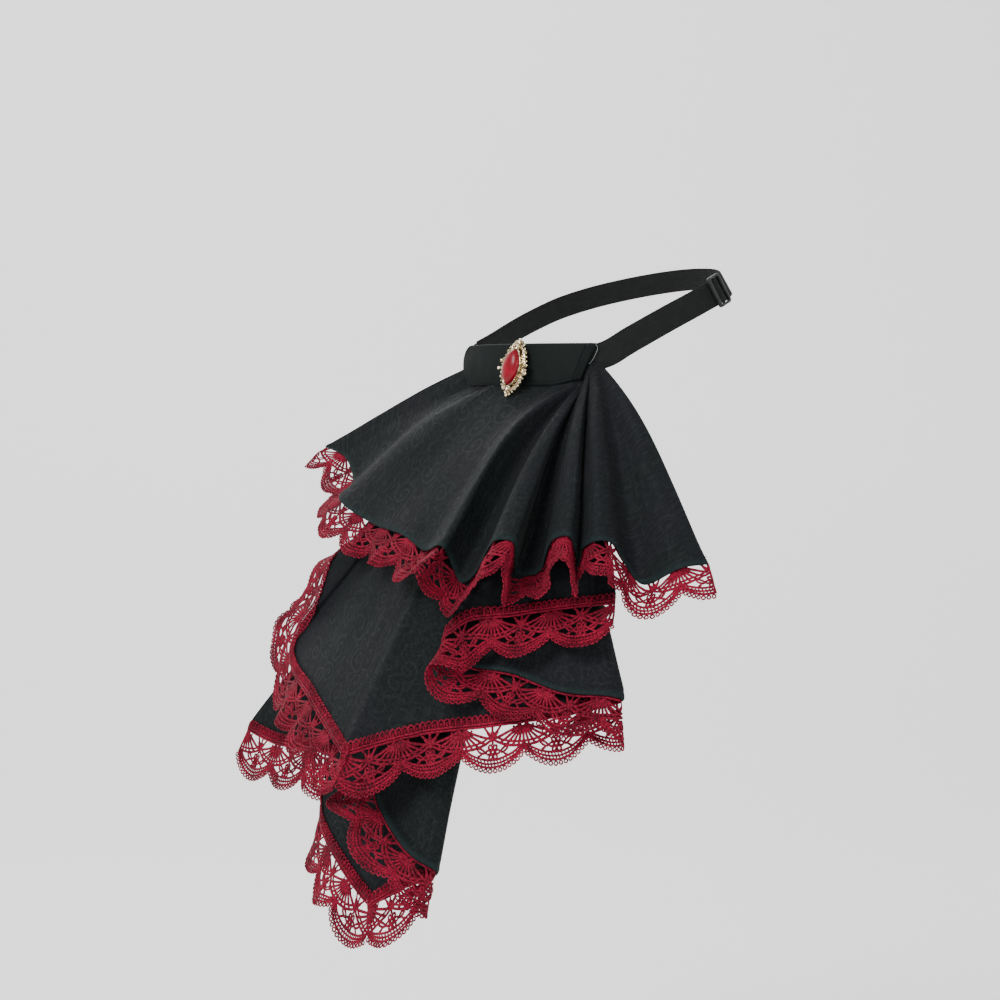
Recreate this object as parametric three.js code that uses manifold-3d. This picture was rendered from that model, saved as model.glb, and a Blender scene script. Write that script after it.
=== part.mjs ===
// A detachable jabot collar: a satin neck band with a brooch, an adjustable strap,
// and three tiers of gathered cloth edged with scalloped lace. Millimetres, +Z up.
// The origin is the centre of the neck loop. The wearer faces -Y, and +X is the wearer's left.
import * as THREE from "three";
import { mergeVertices } from "three/addons/utils/BufferGeometryUtils.js";
import Module from "manifold-3d";

const wasm = await Module();
wasm.setup();

// Driving sizes
const CLEARANCE = 0.3;
const NECK = { tiltDeg: 20, flareDeg: 15 };
// bend: radius of the band's curve. slant: how far its right end runs in. fall: slope of its top edge.
const BAND = {
  front: 70, bend: 161, left: -57, right: 56, slant: 9,
  height: 24.5, thick: 2.4, top: -16.5, fall: 0.04,
};
const STRAP = { width: 15, thick: 0.9, overBar: 2.35 };
const SLIDER = { across: 19, along: 14, thick: 2.4, bar: 2, centreBar: 2.4, centreThick: 0.8 };
const CLASP = { width: 14, thick: 1.6 };
const CLOTH = { thick: 1, seamDrop: 0.95, tierStep: 1.7 };
const LACE = { thick: 1, width: 32, repeat: 40, header: 7, gapEnd: 21.5, scallop: 3.5, seam: 0.85 };
const BROOCH = { side: 3.5, up: -31, leanDeg: 11, tipDeg: 9, height: 34.5, width: 22, point: 1.6 };
const STONE = {
  height: 20.5, width: 12.5, point: 1.3, dome: 3.6, girdle: 0.8, seat: 2.2, wallTop: 3.8, wall: 1.2,
};

// Folds of the three tiers, wearer's right to left. top: place along the band. side, out, up: the hem,
// with out forward of the neck's middle. bow: how far the fold swells outwards on its way down.
// turn: degrees that the lace turns back from the cloth there. swing: degrees that it leans to the
// wearer's right.
const UPPER_FOLDS = [
  { top: -59, side: -168, out: 80, up: -73, bow: 2, swing: 45 },
  { top: -53, side: -148, out: 80, up: -80, bow: 4, swing: 25 },
  { top: -43, side: -129, out: 88, up: -94, bow: 5 },
  { top: -30, side: -107, out: 116, up: -106, bow: 7 },
  { top: -15, side: -61, out: 126, up: -121, bow: 5 },
  { top: 5, side: -24, out: 134, up: -127, bow: 3 },
  { top: 25, side: 0, out: 139, up: -135, bow: 7 },
  { top: 40, side: 24, out: 147, up: -132, bow: 14 },
  { top: 42, side: 23, out: 141, up: -138, bow: 11 },
  { top: 43.5, side: 26, out: 135, up: -152, bow: 8 },
  { top: 44.5, side: 40, out: 137, up: -148, bow: 8 },
  { top: 46, side: 68, out: 147, up: -128, bow: 8 },
  { top: 47.4, side: 77, out: 142, up: -129, bow: 8 },
  { top: 48.3, side: 66, out: 130, up: -147, bow: 8 },
  { top: 49.2, side: 74, out: 127, up: -147, bow: 8 },
  { top: 49.9, side: 79, out: 125, up: -145, bow: 8 },
  { top: 50.7, side: 91, out: 127, up: -128, bow: 8 },
  { top: 51.9, side: 101, out: 124, up: -126, bow: 8 },
  { top: 52.8, side: 96, out: 113, up: -141, bow: 8 },
  { top: 53.4, side: 101, out: 115, up: -133, bow: 8 },
  { top: 54.4, side: 114, out: 115, up: -128, bow: 9 },
  { top: 55.3, side: 118, out: 109, up: -130, bow: 9 },
  { top: 56.1, side: 120, out: 101, up: -141, bow: 9 },
  { top: 56.9, side: 126, out: 95, up: -151, bow: 9 },
  { top: 58, side: 147, out: 87, up: -142, bow: 10 },
  { top: 59.2, side: 156, out: 77, up: -140, bow: 10 },
];
const MIDDLE_FOLDS = [
  { top: -38, side: -88, out: 108, up: -124, bow: -2, turn: -10 },
  { top: -35.5, side: -97, out: 125, up: -140, bow: -2, turn: -10 },
  { top: -32, side: -98, out: 138, up: -168, bow: -2, turn: 70 },
  { top: -26, side: -106, out: 148, up: -193, bow: -2, turn: 25 },
  { top: -18, side: -57, out: 170, up: -213, bow: 0 },
  { top: -10, side: -8, out: 188, up: -234, bow: 0 },
  { top: -7, side: 0, out: 191, up: -237, bow: 0 },
  { top: -5, side: 6, out: 186, up: -235, bow: 0 },
  { top: 1, side: 30, out: 166, up: -226, bow: 0 },
  { top: 8, side: 59, out: 148, up: -221, bow: 0 },
  { top: 17, side: 90, out: 128, up: -215, bow: 0 },
  { top: 24, side: 115, out: 110, up: -208, bow: 0 },
  { top: 26, side: 123, out: 107, up: -205, bow: 1 },
  { top: 28, side: 120, out: 113, up: -203, bow: 2 },
  { top: 31, side: 98, out: 123, up: -202, bow: 3 },
  { top: 34, side: 68, out: 131, up: -194, bow: 3 },
  { top: 36, side: 37, out: 145, up: -189, bow: 3, turn: 15 },
  { top: 37.2, side: 29, out: 147, up: -178, bow: 4, turn: 50 },
  { top: 38.5, side: 36, out: 141, up: -167, bow: 5, turn: 15 },
  { top: 41, side: 63, out: 126, up: -163, bow: 6 },
  { top: 43.5, side: 88, out: 112, up: -159, bow: 7 },
  { top: 46, side: 110, out: 99, up: -156, bow: 7 },
];
const LOWER_FOLDS = [
  { top: -30, side: -147, out: 150, up: -239, bow: -10 },
  { top: -27, side: -121, out: 149, up: -245, bow: -10 },
  { top: -23, side: -72, out: 148, up: -247, bow: -10 },
  { top: -20, side: -55, out: 152, up: -253, bow: -10 },
  { top: -17, side: -58, out: 163, up: -263, bow: -9, turn: 50 },
  { top: -13, side: -49, out: 171, up: -281, bow: -9, turn: 25 },
  { top: -9, side: -14, out: 180, up: -303, bow: -9 },
  { top: -6, side: 6, out: 182, up: -315, bow: -9 },
  { top: -4, side: 11, out: 182, up: -318, bow: -9 },
  { top: -2, side: 15, out: 180, up: -315, bow: -9 },
  { top: 1, side: 26, out: 176, up: -308, bow: -9 },
  { top: 4, side: 43, out: 167, up: -300, bow: -9 },
  { top: 5.5, side: 50, out: 171, up: -296, bow: -8 },
  { top: 7, side: 43, out: 178, up: -290, bow: -7, turn: 15 },
  { top: 9, side: 25, out: 177, up: -279, bow: -6, turn: 60 },
  { top: 11, side: 12, out: 174, up: -268, bow: -6, turn: 50 },
  { top: 13, side: 2, out: 168, up: -255, bow: -6, turn: 15 },
];
// rise: how soon below the band a tier's folds swell. steps: rows of cloth down a fold.
const UPPER = { order: 0, rise: 1.1, steps: 5 };
const MIDDLE = { order: 1, rise: 0.9, steps: 6 };
const LOWER = { order: 2, rise: 0.9, steps: 6 };
const SWELL_FADE = 1.7;

const BLACK_CLOTH = new THREE.MeshStandardMaterial({ color: 0x16171a, roughness: 0.8, metalness: 0 });
const BLACK_SATIN = new THREE.MeshStandardMaterial({ color: 0x1b1f20, roughness: 0.55, metalness: 0 });
const BLACK_PLASTIC = new THREE.MeshStandardMaterial({ color: 0x0d0e0f, roughness: 0.35, metalness: 0 });
const RED_LACE = new THREE.MeshStandardMaterial({ color: 0xa5233c, roughness: 0.7, metalness: 0 });
const GOLD = new THREE.MeshStandardMaterial({ color: 0xd9b45a, roughness: 0.3, metalness: 1 });
const RED_STONE = new THREE.MeshStandardMaterial({ color: 0xb81430, roughness: 0.12, metalness: 0 });

const radians = (degrees) => (degrees * Math.PI) / 180;
const place = (side, out, up) => new THREE.Vector3(side, -out, up);

function meshOf(name, geometry, material) {
  const mesh = new THREE.Mesh(geometry, material);
  mesh.name = name;
  return mesh;
}

// A closed wall of even thickness on a grid of points, columns first. open(i, j) tells which cells
// are gaps.
function wallOn(grid, thick, open = () => false) {
  const columns = grid.length;
  const rows = grid[0].length;
  const at = (i, j) => grid[Math.min(Math.max(i, 0), columns - 1)][Math.min(Math.max(j, 0), rows - 1)];
  const vertices = [];
  for (let i = 0; i < columns; i++) {
    for (let j = 0; j < rows; j++) {
      const along = at(i + 1, j).clone().sub(at(i - 1, j)).normalize();
      const down = at(i, j + 1).clone().sub(at(i, j - 1)).normalize();
      const half = down.cross(along).normalize().multiplyScalar(thick / 2);
      const p = grid[i][j];
      vertices.push(p.x + half.x, p.y + half.y, p.z + half.z);
      vertices.push(p.x - half.x, p.y - half.y, p.z - half.z);
    }
  }
  const front = (i, j) => 2 * (i * rows + j);
  const solid = (i, j) => i >= 0 && j >= 0 && i < columns - 1 && j < rows - 1 && !open(i, j);
  const faces = [];
  const rim = (p, q) => faces.push(p, p + 1, q + 1, p, q + 1, q);
  for (let i = 0; i < columns - 1; i++) {
    for (let j = 0; j < rows - 1; j++) {
      if (!solid(i, j)) continue;
      const [a, b, c, d] = [front(i, j), front(i + 1, j), front(i + 1, j + 1), front(i, j + 1)];
      faces.push(a, d, b, b, d, c);
      faces.push(a + 1, b + 1, d + 1, b + 1, c + 1, d + 1);
      if (!solid(i - 1, j)) rim(a, d);
      if (!solid(i, j + 1)) rim(d, c);
      if (!solid(i + 1, j)) rim(c, b);
      if (!solid(i, j - 1)) rim(b, a);
    }
  }
  const geometry = new THREE.BufferGeometry();
  geometry.setAttribute("position", new THREE.Float32BufferAttribute(vertices, 3));
  geometry.setIndex(faces);
  // Vertices inside gaps belong to no face, and are left out here.
  return mergeVertices(geometry.toNonIndexed(), 1e-4);
}

// The band's middle surface, and its edges. The tiers are gathered under the lower one, and their ends
// run up beside the band's ends.
const bandOut = (side) => BAND.front - BAND.bend + Math.sqrt(BAND.bend ** 2 - side ** 2);
const bandTop = (side) => BAND.top - BAND.fall * side;
const bandBottom = (side) => bandTop(side) - BAND.height;

function gatherPoint(side, tier) {
  const past = Math.max(side - (BAND.right - BAND.slant) - 0.4, 0);
  const rise = Math.min(2.1 * past, 12 + 0.12 * past) + 3.6 * Math.max(BAND.left + 1.2 - side, 0);
  return place(side, bandOut(side) - tier * CLOTH.tierStep, bandBottom(side) - CLOTH.seamDrop + rise);
}

// A gathered tier: straight folds from the band to the hem, swollen by each fold's bow.
class Tier {
  constructor(folds, { order, rise, steps }) {
    this.rise = rise;
    this.steps = steps;
    this.peak = this.shape(rise / (rise + SWELL_FADE));
    const curve = (points) => new THREE.CatmullRomCurve3(points, false, "centripetal");
    this.last = folds.length - 1;
    this.top = curve(folds.map((fold) => gatherPoint(fold.top, order)));
    this.hem = curve(folds.map((fold) => place(fold.side, fold.out, fold.up)));
    this.bow = curve(folds.map((fold) => {
      const azimuth = Math.atan2(fold.side, fold.out);
      return place(0.86 * Math.sin(azimuth), 0.86 * Math.cos(azimuth), 0.5).multiplyScalar(fold.bow);
    }));
    this.turn = curve(folds.map((fold, i) => {
      return new THREE.Vector3(radians(fold.swing ?? 0), radians(fold.turn ?? 0), i);
    }));
  }

  shape(down) {
    return Math.pow(down, this.rise) * Math.pow(1 - down, SWELL_FADE);
  }

  point(along, down) {
    const p = this.top.getPoint(along).lerp(this.hem.getPoint(along), down);
    return p.addScaledVector(this.bow.getPoint(along), this.shape(down) / this.peak);
  }

  // Places along the hem for the columns of whole lace repeats.
  columns() {
    const steps = this.last * 24;
    const reach = [0];
    for (let k = 1; k <= steps; k++) {
      const piece = this.hem.getPoint(k / steps).distanceTo(this.hem.getPoint((k - 1) / steps));
      reach.push(reach[k - 1] + piece);
    }
    const total = reach[steps];
    this.repeats = Math.round(total / LACE.repeat);
    const shares = LACE_COLUMNS.map((column) => column.share);
    const stops = [0];
    for (let n = 0; n < this.repeats; n++) {
      shares.forEach((share) => stops.push((n + share) / this.repeats));
    }
    stops.push(1);
    let k = 0;
    return stops.map((stop) => {
      while (k < steps - 1 && reach[k + 1] < stop * total) k++;
      const part = (stop * total - reach[k]) / (reach[k + 1] - reach[k]);
      return Math.min(Math.max((k + part) / steps, 0), 1);
    });
  }

  cloth() {
    const grid = this.columns().map((along) => {
      const column = [];
      for (let j = 0; j <= this.steps; j++) column.push(this.point(along, j / this.steps));
      return column;
    });
    return wallOn(grid, CLOTH.thick);
  }

  // The way the lace hangs from the hem: on from the cloth, square to the hem. Round a corner it is eased,
  // and drawn out so that its edge still comes to a point.
  hangs(places) {
    const raw = places.map((along, i) => {
      const before = this.hem.getPoint(places[Math.max(i - 1, 0)]);
      const after = this.hem.getPoint(places[Math.min(i + 1, places.length - 1)]);
      const tangent = after.sub(before).normalize();
      const fall = this.point(along, 1).sub(this.point(along, 0.94)).normalize();
      fall.addScaledVector(tangent, -fall.dot(tangent)).normalize();
      const { x: swing, y: turn } = this.turn.getPoint(along);
      const face = fall.clone().cross(tangent);
      return fall.applyAxisAngle(tangent, turn).applyAxisAngle(face, -swing);
    });
    return raw.map((own, i) => {
      const sum = new THREE.Vector3();
      for (let d = -3; d <= 3; d++) {
        const near = raw[Math.min(Math.max(i + d, 0), raw.length - 1)];
        sum.addScaledVector(near, 4 - Math.abs(d));
      }
      sum.normalize();
      return sum.divideScalar(Math.max(sum.dot(own), 0.85));
    });
  }

  lace() {
    const places = this.columns();
    const hangs = this.hangs(places);
    const last = places.length - 1;
    const isEnd = (i) => i === 0 || i === last;
    const kindOf = (i) => (isEnd(i) ? END_COLUMN : LACE_COLUMNS[(i - 1) % LACE_COLUMNS.length]);
    const grid = places.map((along, i) => {
      const hem = this.hem.getPoint(along);
      const kind = kindOf(i);
      const edge = LACE.width - LACE.scallop + LACE.scallop * Math.cos(2 * Math.PI * (kind.share - 0.5));
      const depths = [0, LACE.header - kind.swell, LACE.gapEnd + kind.swell, edge];
      return depths.map((depth) => hem.clone().addScaledVector(hangs[i], LACE.seam + depth));
    });
    const isGap = (i, j) => j === 1 && i < last - 1 && kindOf(i).gapAfter;
    return wallOn(grid, LACE.thick, isGap);
  }
}

// Columns of one lace repeat: a gap each side of the flower, and a fan between repeats.
const LACE_COLUMNS = [
  { share: 0.12, swell: 0, gapAfter: true },
  { share: 0.27, swell: 1.6, gapAfter: true },
  { share: 0.42, swell: 0, gapAfter: false },
  { share: 0.58, swell: 0, gapAfter: true },
  { share: 0.73, swell: 1.6, gapAfter: true },
  { share: 0.88, swell: 0, gapAfter: false },
];
const END_COLUMN = { share: 0, swell: 0, gapAfter: false };

function neckBand() {
  const grid = [];
  const columns = 20;
  const rows = 6;
  for (let i = 0; i <= columns; i++) {
    const column = [];
    for (let j = 0; j <= rows; j++) {
      const height = 1 - j / rows;
      const rounding = 5 * Math.pow(Math.abs(2 * height - 1), 4);
      const left = BAND.left + rounding;
      const right = BAND.right - BAND.slant * (1 - height);
      const side = left + ((right - left) * i) / columns;
      column.push(place(side, bandOut(side), bandTop(side) - BAND.height * (1 - height)));
    }
    grid.push(column);
  }
  return wallOn(grid, BAND.thick);
}

// The strap's middle line on the wearer's left, up to its slider and on behind the neck to the right.
const STRAP_LEFT = [
  place(47, 60.9, -28), place(57.5, 53, -24.5), place(62.5, 41, -17), place(65, 26, -9.3),
  place(66.4, 10, -1.7), place(67, -8, 6.3),
];
const STRAP_BACK = [
  place(57, -47, 21.5), place(43, -59, 25.8), place(22, -67, 28.8), place(0, -69.5, 29.8),
  place(-22, -67, 28.8), place(-43, -59, 25.8), place(-57, -47, 21.5), place(-65.2, -28, 14.6),
  place(-67, -8, 6.3), place(-66.4, 10, -1.7), place(-64.4, 30, -11.2), place(-61.2, 44.5, -17.5),
];
const SLIDER_AT = place(64.8, -30, 15.5);
const SLIDER_ALONG = place(-0.25, -0.9, 0.36).normalize();

// The way out from the neck, and up across the strap, where it runs in a direction. The strap lies on the
// flare of the neck, and stands upright where it meets the band.
function strapFrame(direction, nearBand = 0) {
  const tilt = radians(NECK.tiltDeg);
  const upright = place(0, 0, 1);
  const across = place(0, Math.sin(tilt), Math.cos(tilt)).lerp(upright, nearBand).normalize();
  const outward = direction.clone().cross(across).normalize();
  const flare = radians(NECK.flareDeg) * (1 - nearBand);
  across.multiplyScalar(Math.cos(flare)).addScaledVector(outward, -Math.sin(flare)).normalize();
  return { across, outward: direction.clone().cross(across).normalize() };
}

function ribbon(points, width, thick) {
  const last = points.length - 1;
  const grid = points.map((p, i) => {
    const direction = points[Math.min(i + 1, last)].clone().sub(points[Math.max(i - 1, 0)]).normalize();
    const { across } = strapFrame(direction, THREE.MathUtils.smoothstep(-p.y, 30, 55));
    return [p.clone().addScaledVector(across, width / 2), p.clone().addScaledVector(across, -width / 2)];
  });
  return wallOn(grid, thick);
}

// The strap passes under the slider's ends and over its middle bar.
function neckStrap() {
  const { outward } = strapFrame(SLIDER_ALONG);
  const overCentre = SLIDER.centreBar / 2 + 0.4;
  const underEnd = SLIDER.along / 2 - SLIDER.bar - 0.2;
  const woven = [[-underEnd, 0], [-overCentre, STRAP.overBar], [overCentre, STRAP.overBar], [underEnd, 0]];
  const points = woven.map(([along, lift]) => {
    return SLIDER_AT.clone().addScaledVector(SLIDER_ALONG, along).addScaledVector(outward, lift);
  });
  return ribbon([...STRAP_LEFT, ...points, ...STRAP_BACK], STRAP.width, STRAP.thick);
}

function clasp() {
  const points = [place(-61, 45.2, -17.9), place(-58.2, 52.5, -22)];
  points.push(place(-54, 57, -25), place(-46, 60.8, -28));
  return ribbon(points, CLASP.width, CLASP.thick);
}

function roundedBox(along, across, corner) {
  const shape = new THREE.Shape();
  const [x, y] = [along / 2, across / 2];
  shape.moveTo(-x + corner, -y);
  shape.lineTo(x - corner, -y);
  shape.absarc(x - corner, -y + corner, corner, -Math.PI / 2, 0);
  shape.absarc(x - corner, y - corner, corner, 0, Math.PI / 2);
  shape.absarc(-x + corner, y - corner, corner, Math.PI / 2, Math.PI);
  shape.absarc(-x + corner, -y + corner, corner, Math.PI, 1.5 * Math.PI);
  return shape;
}

function solidOf(geometry) {
  const bare = geometry.clone();
  bare.deleteAttribute("normal");
  bare.deleteAttribute("uv");
  const merged = mergeVertices(bare, 1e-4);
  const vertProperties = merged.attributes.position.array;
  const triVerts = new Uint32Array(merged.index.array);
  return new wasm.Manifold(new wasm.Mesh({ numProp: 3, vertProperties, triVerts }));
}

function geometryOf(solid) {
  const mesh = solid.getMesh();
  const geometry = new THREE.BufferGeometry();
  geometry.setAttribute("position", new THREE.Float32BufferAttribute(mesh.vertProperties, mesh.numProp));
  geometry.setIndex([...mesh.triVerts]);
  return geometry;
}

// The slider lies flat over the strap: an open frame with a lower bar across its middle.
function slider() {
  const frame = roundedBox(SLIDER.along, SLIDER.across, 2);
  frame.holes.push(roundedBox(SLIDER.along - 2 * SLIDER.bar, STRAP.width + 0.8, 0.6));
  const flat = { depth: SLIDER.thick, bevelEnabled: false, curveSegments: 4 };
  const outer = new THREE.ExtrudeGeometry(frame, flat);
  const bar = new THREE.BoxGeometry(SLIDER.centreBar, SLIDER.across - 2, SLIDER.centreThick);
  bar.translate(0, 0, SLIDER.centreThick / 2);
  const mesh = meshOf("strap_slider", geometryOf(solidOf(outer).add(solidOf(bar))), BLACK_PLASTIC);
  const { across, outward } = strapFrame(SLIDER_ALONG);
  const along = across.clone().cross(outward);
  mesh.applyMatrix4(new THREE.Matrix4().makeBasis(along, across, outward));
  mesh.position.copy(SLIDER_AT).addScaledVector(outward, STRAP.thick / 2 + CLEARANCE);
  return mesh;
}

// A pointed oval, tip to tip along y. point: how sharp its tips are.
function pointedOval(width, height, steps, point) {
  const points = [];
  for (let k = 0; k < steps; k++) {
    const angle = (2 * Math.PI * k) / steps;
    const side = Math.sign(Math.cos(angle)) * Math.pow(Math.abs(Math.cos(angle)), point);
    points.push(new THREE.Vector2((side * width) / 2, (Math.sin(angle) * height) / 2));
  }
  return points;
}

function broochSetting() {
  const plate = new THREE.Shape(pointedOval(BROOCH.width, BROOCH.height, 32, BROOCH.point));
  const base = new THREE.ExtrudeGeometry(plate, { depth: STONE.seat, bevelEnabled: false });
  const inner = CLEARANCE * 2;
  const outer = inner + 2 * STONE.wall;
  const wall = new THREE.Shape(pointedOval(STONE.width + outer, STONE.height + outer * 1.3, 28, STONE.point));
  wall.holes.push(new THREE.Path(pointedOval(STONE.width + inner, STONE.height + inner * 1.3, 28, STONE.point)));
  const rim = new THREE.ExtrudeGeometry(wall, { depth: STONE.wallTop, bevelEnabled: false });
  return geometryOf(solidOf(base).add(solidOf(rim)));
}

// A cabochon: rings of the pointed oval that shrink as they rise to a rounded top.
function cabochon() {
  const steps = 28;
  const rings = 6;
  const seat = STONE.seat + CLEARANCE;
  const outline = pointedOval(STONE.width, STONE.height, steps, STONE.point);
  const vertices = [0, 0, seat];
  const faces = [];
  for (let ring = 0; ring < rings; ring++) {
    const turn = (Math.PI / 2) * (ring / rings);
    const level = ring === 0 ? seat : seat + STONE.girdle + STONE.dome * Math.sin(turn);
    outline.forEach((p) => vertices.push(p.x * Math.cos(turn), p.y * Math.cos(turn), level));
  }
  vertices.push(0, 0, seat + STONE.girdle + STONE.dome);
  const at = (ring, k) => 1 + ring * steps + (k % steps);
  const peak = 1 + rings * steps;
  for (let k = 0; k < steps; k++) {
    faces.push(0, at(0, k + 1), at(0, k));
    for (let ring = 0; ring < rings - 1; ring++) {
      faces.push(at(ring, k), at(ring, k + 1), at(ring + 1, k + 1));
      faces.push(at(ring, k), at(ring + 1, k + 1), at(ring + 1, k));
    }
    faces.push(at(rings - 1, k), at(rings - 1, k + 1), peak);
  }
  const geometry = new THREE.BufferGeometry();
  geometry.setAttribute("position", new THREE.Float32BufferAttribute(vertices, 3));
  geometry.setIndex(faces);
  return geometry;
}

// The brooch hangs on the band's front. Its lower tip stands off over the gathers, and its top leans
// to the wearer's left.
function brooch() {
  const group = new THREE.Group();
  const lean = new THREE.Group();
  lean.add(meshOf("brooch_setting", broochSetting(), GOLD));
  lean.add(meshOf("brooch_stone", cabochon(), RED_STONE));
  lean.rotation.z = -radians(BROOCH.leanDeg);
  group.add(lean);
  const standOff = 0.82 * (BROOCH.height / 2) * Math.sin(radians(BROOCH.tipDeg));
  const front = bandOut(BROOCH.side) + BAND.thick / 2 + CLEARANCE + standOff;
  group.position.copy(place(BROOCH.side, front, BROOCH.up));
  group.rotation.x = Math.PI / 2 - radians(BROOCH.tipDeg);
  return group;
}

const upper = new Tier(UPPER_FOLDS, UPPER);
const middle = new Tier(MIDDLE_FOLDS, MIDDLE);
const lower = new Tier(LOWER_FOLDS, LOWER);

const collar = new THREE.Group();
collar.add(meshOf("neck_band", neckBand(), BLACK_SATIN));
collar.add(meshOf("neck_strap", neckStrap(), BLACK_SATIN));
collar.add(meshOf("strap_clasp", clasp(), BLACK_PLASTIC));
collar.add(slider());
collar.add(brooch());
collar.add(meshOf("upper_ruffle", upper.cloth(), BLACK_CLOTH));
collar.add(meshOf("middle_cascade", middle.cloth(), BLACK_CLOTH));
collar.add(meshOf("lower_cascade", lower.cloth(), BLACK_CLOTH));
collar.add(meshOf("upper_lace", upper.lace(), RED_LACE));
collar.add(meshOf("middle_lace", middle.lace(), RED_LACE));
collar.add(meshOf("lower_lace", lower.lace(), RED_LACE));

export default collar;
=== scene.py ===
"""Detachable jabot collar: a satin band with a brooch and a strap, and three lace-edged jacquard tiers."""
import logging
import math
from dataclasses import dataclass, field
from enum import Enum
from typing import Sequence, Union

import bpy
import numpy as np
from mathutils import Matrix, Vector


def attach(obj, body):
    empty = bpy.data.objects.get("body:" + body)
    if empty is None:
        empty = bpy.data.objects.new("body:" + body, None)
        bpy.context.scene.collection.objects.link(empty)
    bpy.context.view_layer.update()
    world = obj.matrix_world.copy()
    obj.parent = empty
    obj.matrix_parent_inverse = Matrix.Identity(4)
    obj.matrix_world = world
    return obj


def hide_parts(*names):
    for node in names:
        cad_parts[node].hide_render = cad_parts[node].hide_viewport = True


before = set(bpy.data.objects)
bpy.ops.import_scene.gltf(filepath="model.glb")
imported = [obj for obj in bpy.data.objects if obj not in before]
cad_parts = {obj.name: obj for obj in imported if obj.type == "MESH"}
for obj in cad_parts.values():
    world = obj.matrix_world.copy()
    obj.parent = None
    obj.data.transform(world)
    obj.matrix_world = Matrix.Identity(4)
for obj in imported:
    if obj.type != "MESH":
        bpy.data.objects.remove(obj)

MM = 0.001
TURN = 2 * math.pi
UP = np.array([0.0, 0.0, 1.0])
ALL_SMOOTH = 180.0  # degrees: no edge of such a piece is sharp
LACE_REPEAT = 40.0  # millimetres of the flat pattern from one flower to the next
LACE_DEPTH = 32.0  # millimetres from the header's loops to the edge, as the guide's flat map has it
Array = np.ndarray
Colour = tuple[float, float, float, float]
Point = tuple[float, float, float]
Node, Socket = bpy.types.Node, bpy.types.NodeSocket
Mesh, Piece = bpy.types.Mesh, bpy.types.Object
log = logging.getLogger("collar")


# ---- Node trees ----


class Value:
    """A number that a node tree works out, so that its maths reads as plain maths."""

    def __init__(self, sheet: "NodeSheet", socket: Socket) -> None:
        """Wrap an output socket of the sheet's tree."""
        self.sheet = sheet
        self.socket = socket

    def __add__(self, other: "Number") -> "Value":
        """Add a value or number."""
        return self.sheet.maths("ADD", self, other)

    __radd__ = __add__

    def __sub__(self, other: "Number") -> "Value":
        """Take a value or number away."""
        return self.sheet.maths("SUBTRACT", self, other)

    def __rsub__(self, other: "Number") -> "Value":
        """Take this value from a number."""
        return self.sheet.maths("SUBTRACT", other, self)

    def __mul__(self, other: "Number") -> "Value":
        """Multiply by a value or number."""
        return self.sheet.maths("MULTIPLY", self, other)

    __rmul__ = __mul__

    def __truediv__(self, other: "Number") -> "Value":
        """Divide by a value or number."""
        return self.sheet.maths("DIVIDE", self, other)

    def __rtruediv__(self, other: "Number") -> "Value":
        """Divide a number by this value."""
        return self.sheet.maths("DIVIDE", other, self)

    def sine(self) -> "Value":
        """Give the sine, of radians."""
        return self.sheet.maths("SINE", self)

    def size(self) -> "Value":
        """Give the value without its sign."""
        return self.sheet.maths("ABSOLUTE", self)

    def larger(self, other: "Number") -> "Value":
        """Give the larger of the two."""
        return self.sheet.maths("MAXIMUM", self, other)

    def step(self, low: float, high: float) -> "Value":
        """Rise smoothly from 0 at low to 1 at high.

        Args:
            low: where the rise starts.
            high: where it ends; below low, the value falls instead.

        Returns:
            The eased value.
        """
        sockets = {"Value": self, "From Min": low, "From Max": high}
        node = self.sheet.node("ShaderNodeMapRange", sockets, interpolation_type="SMOOTHSTEP")
        return Value(self.sheet, node.outputs[0])


Number = Union[Value, float]


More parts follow.
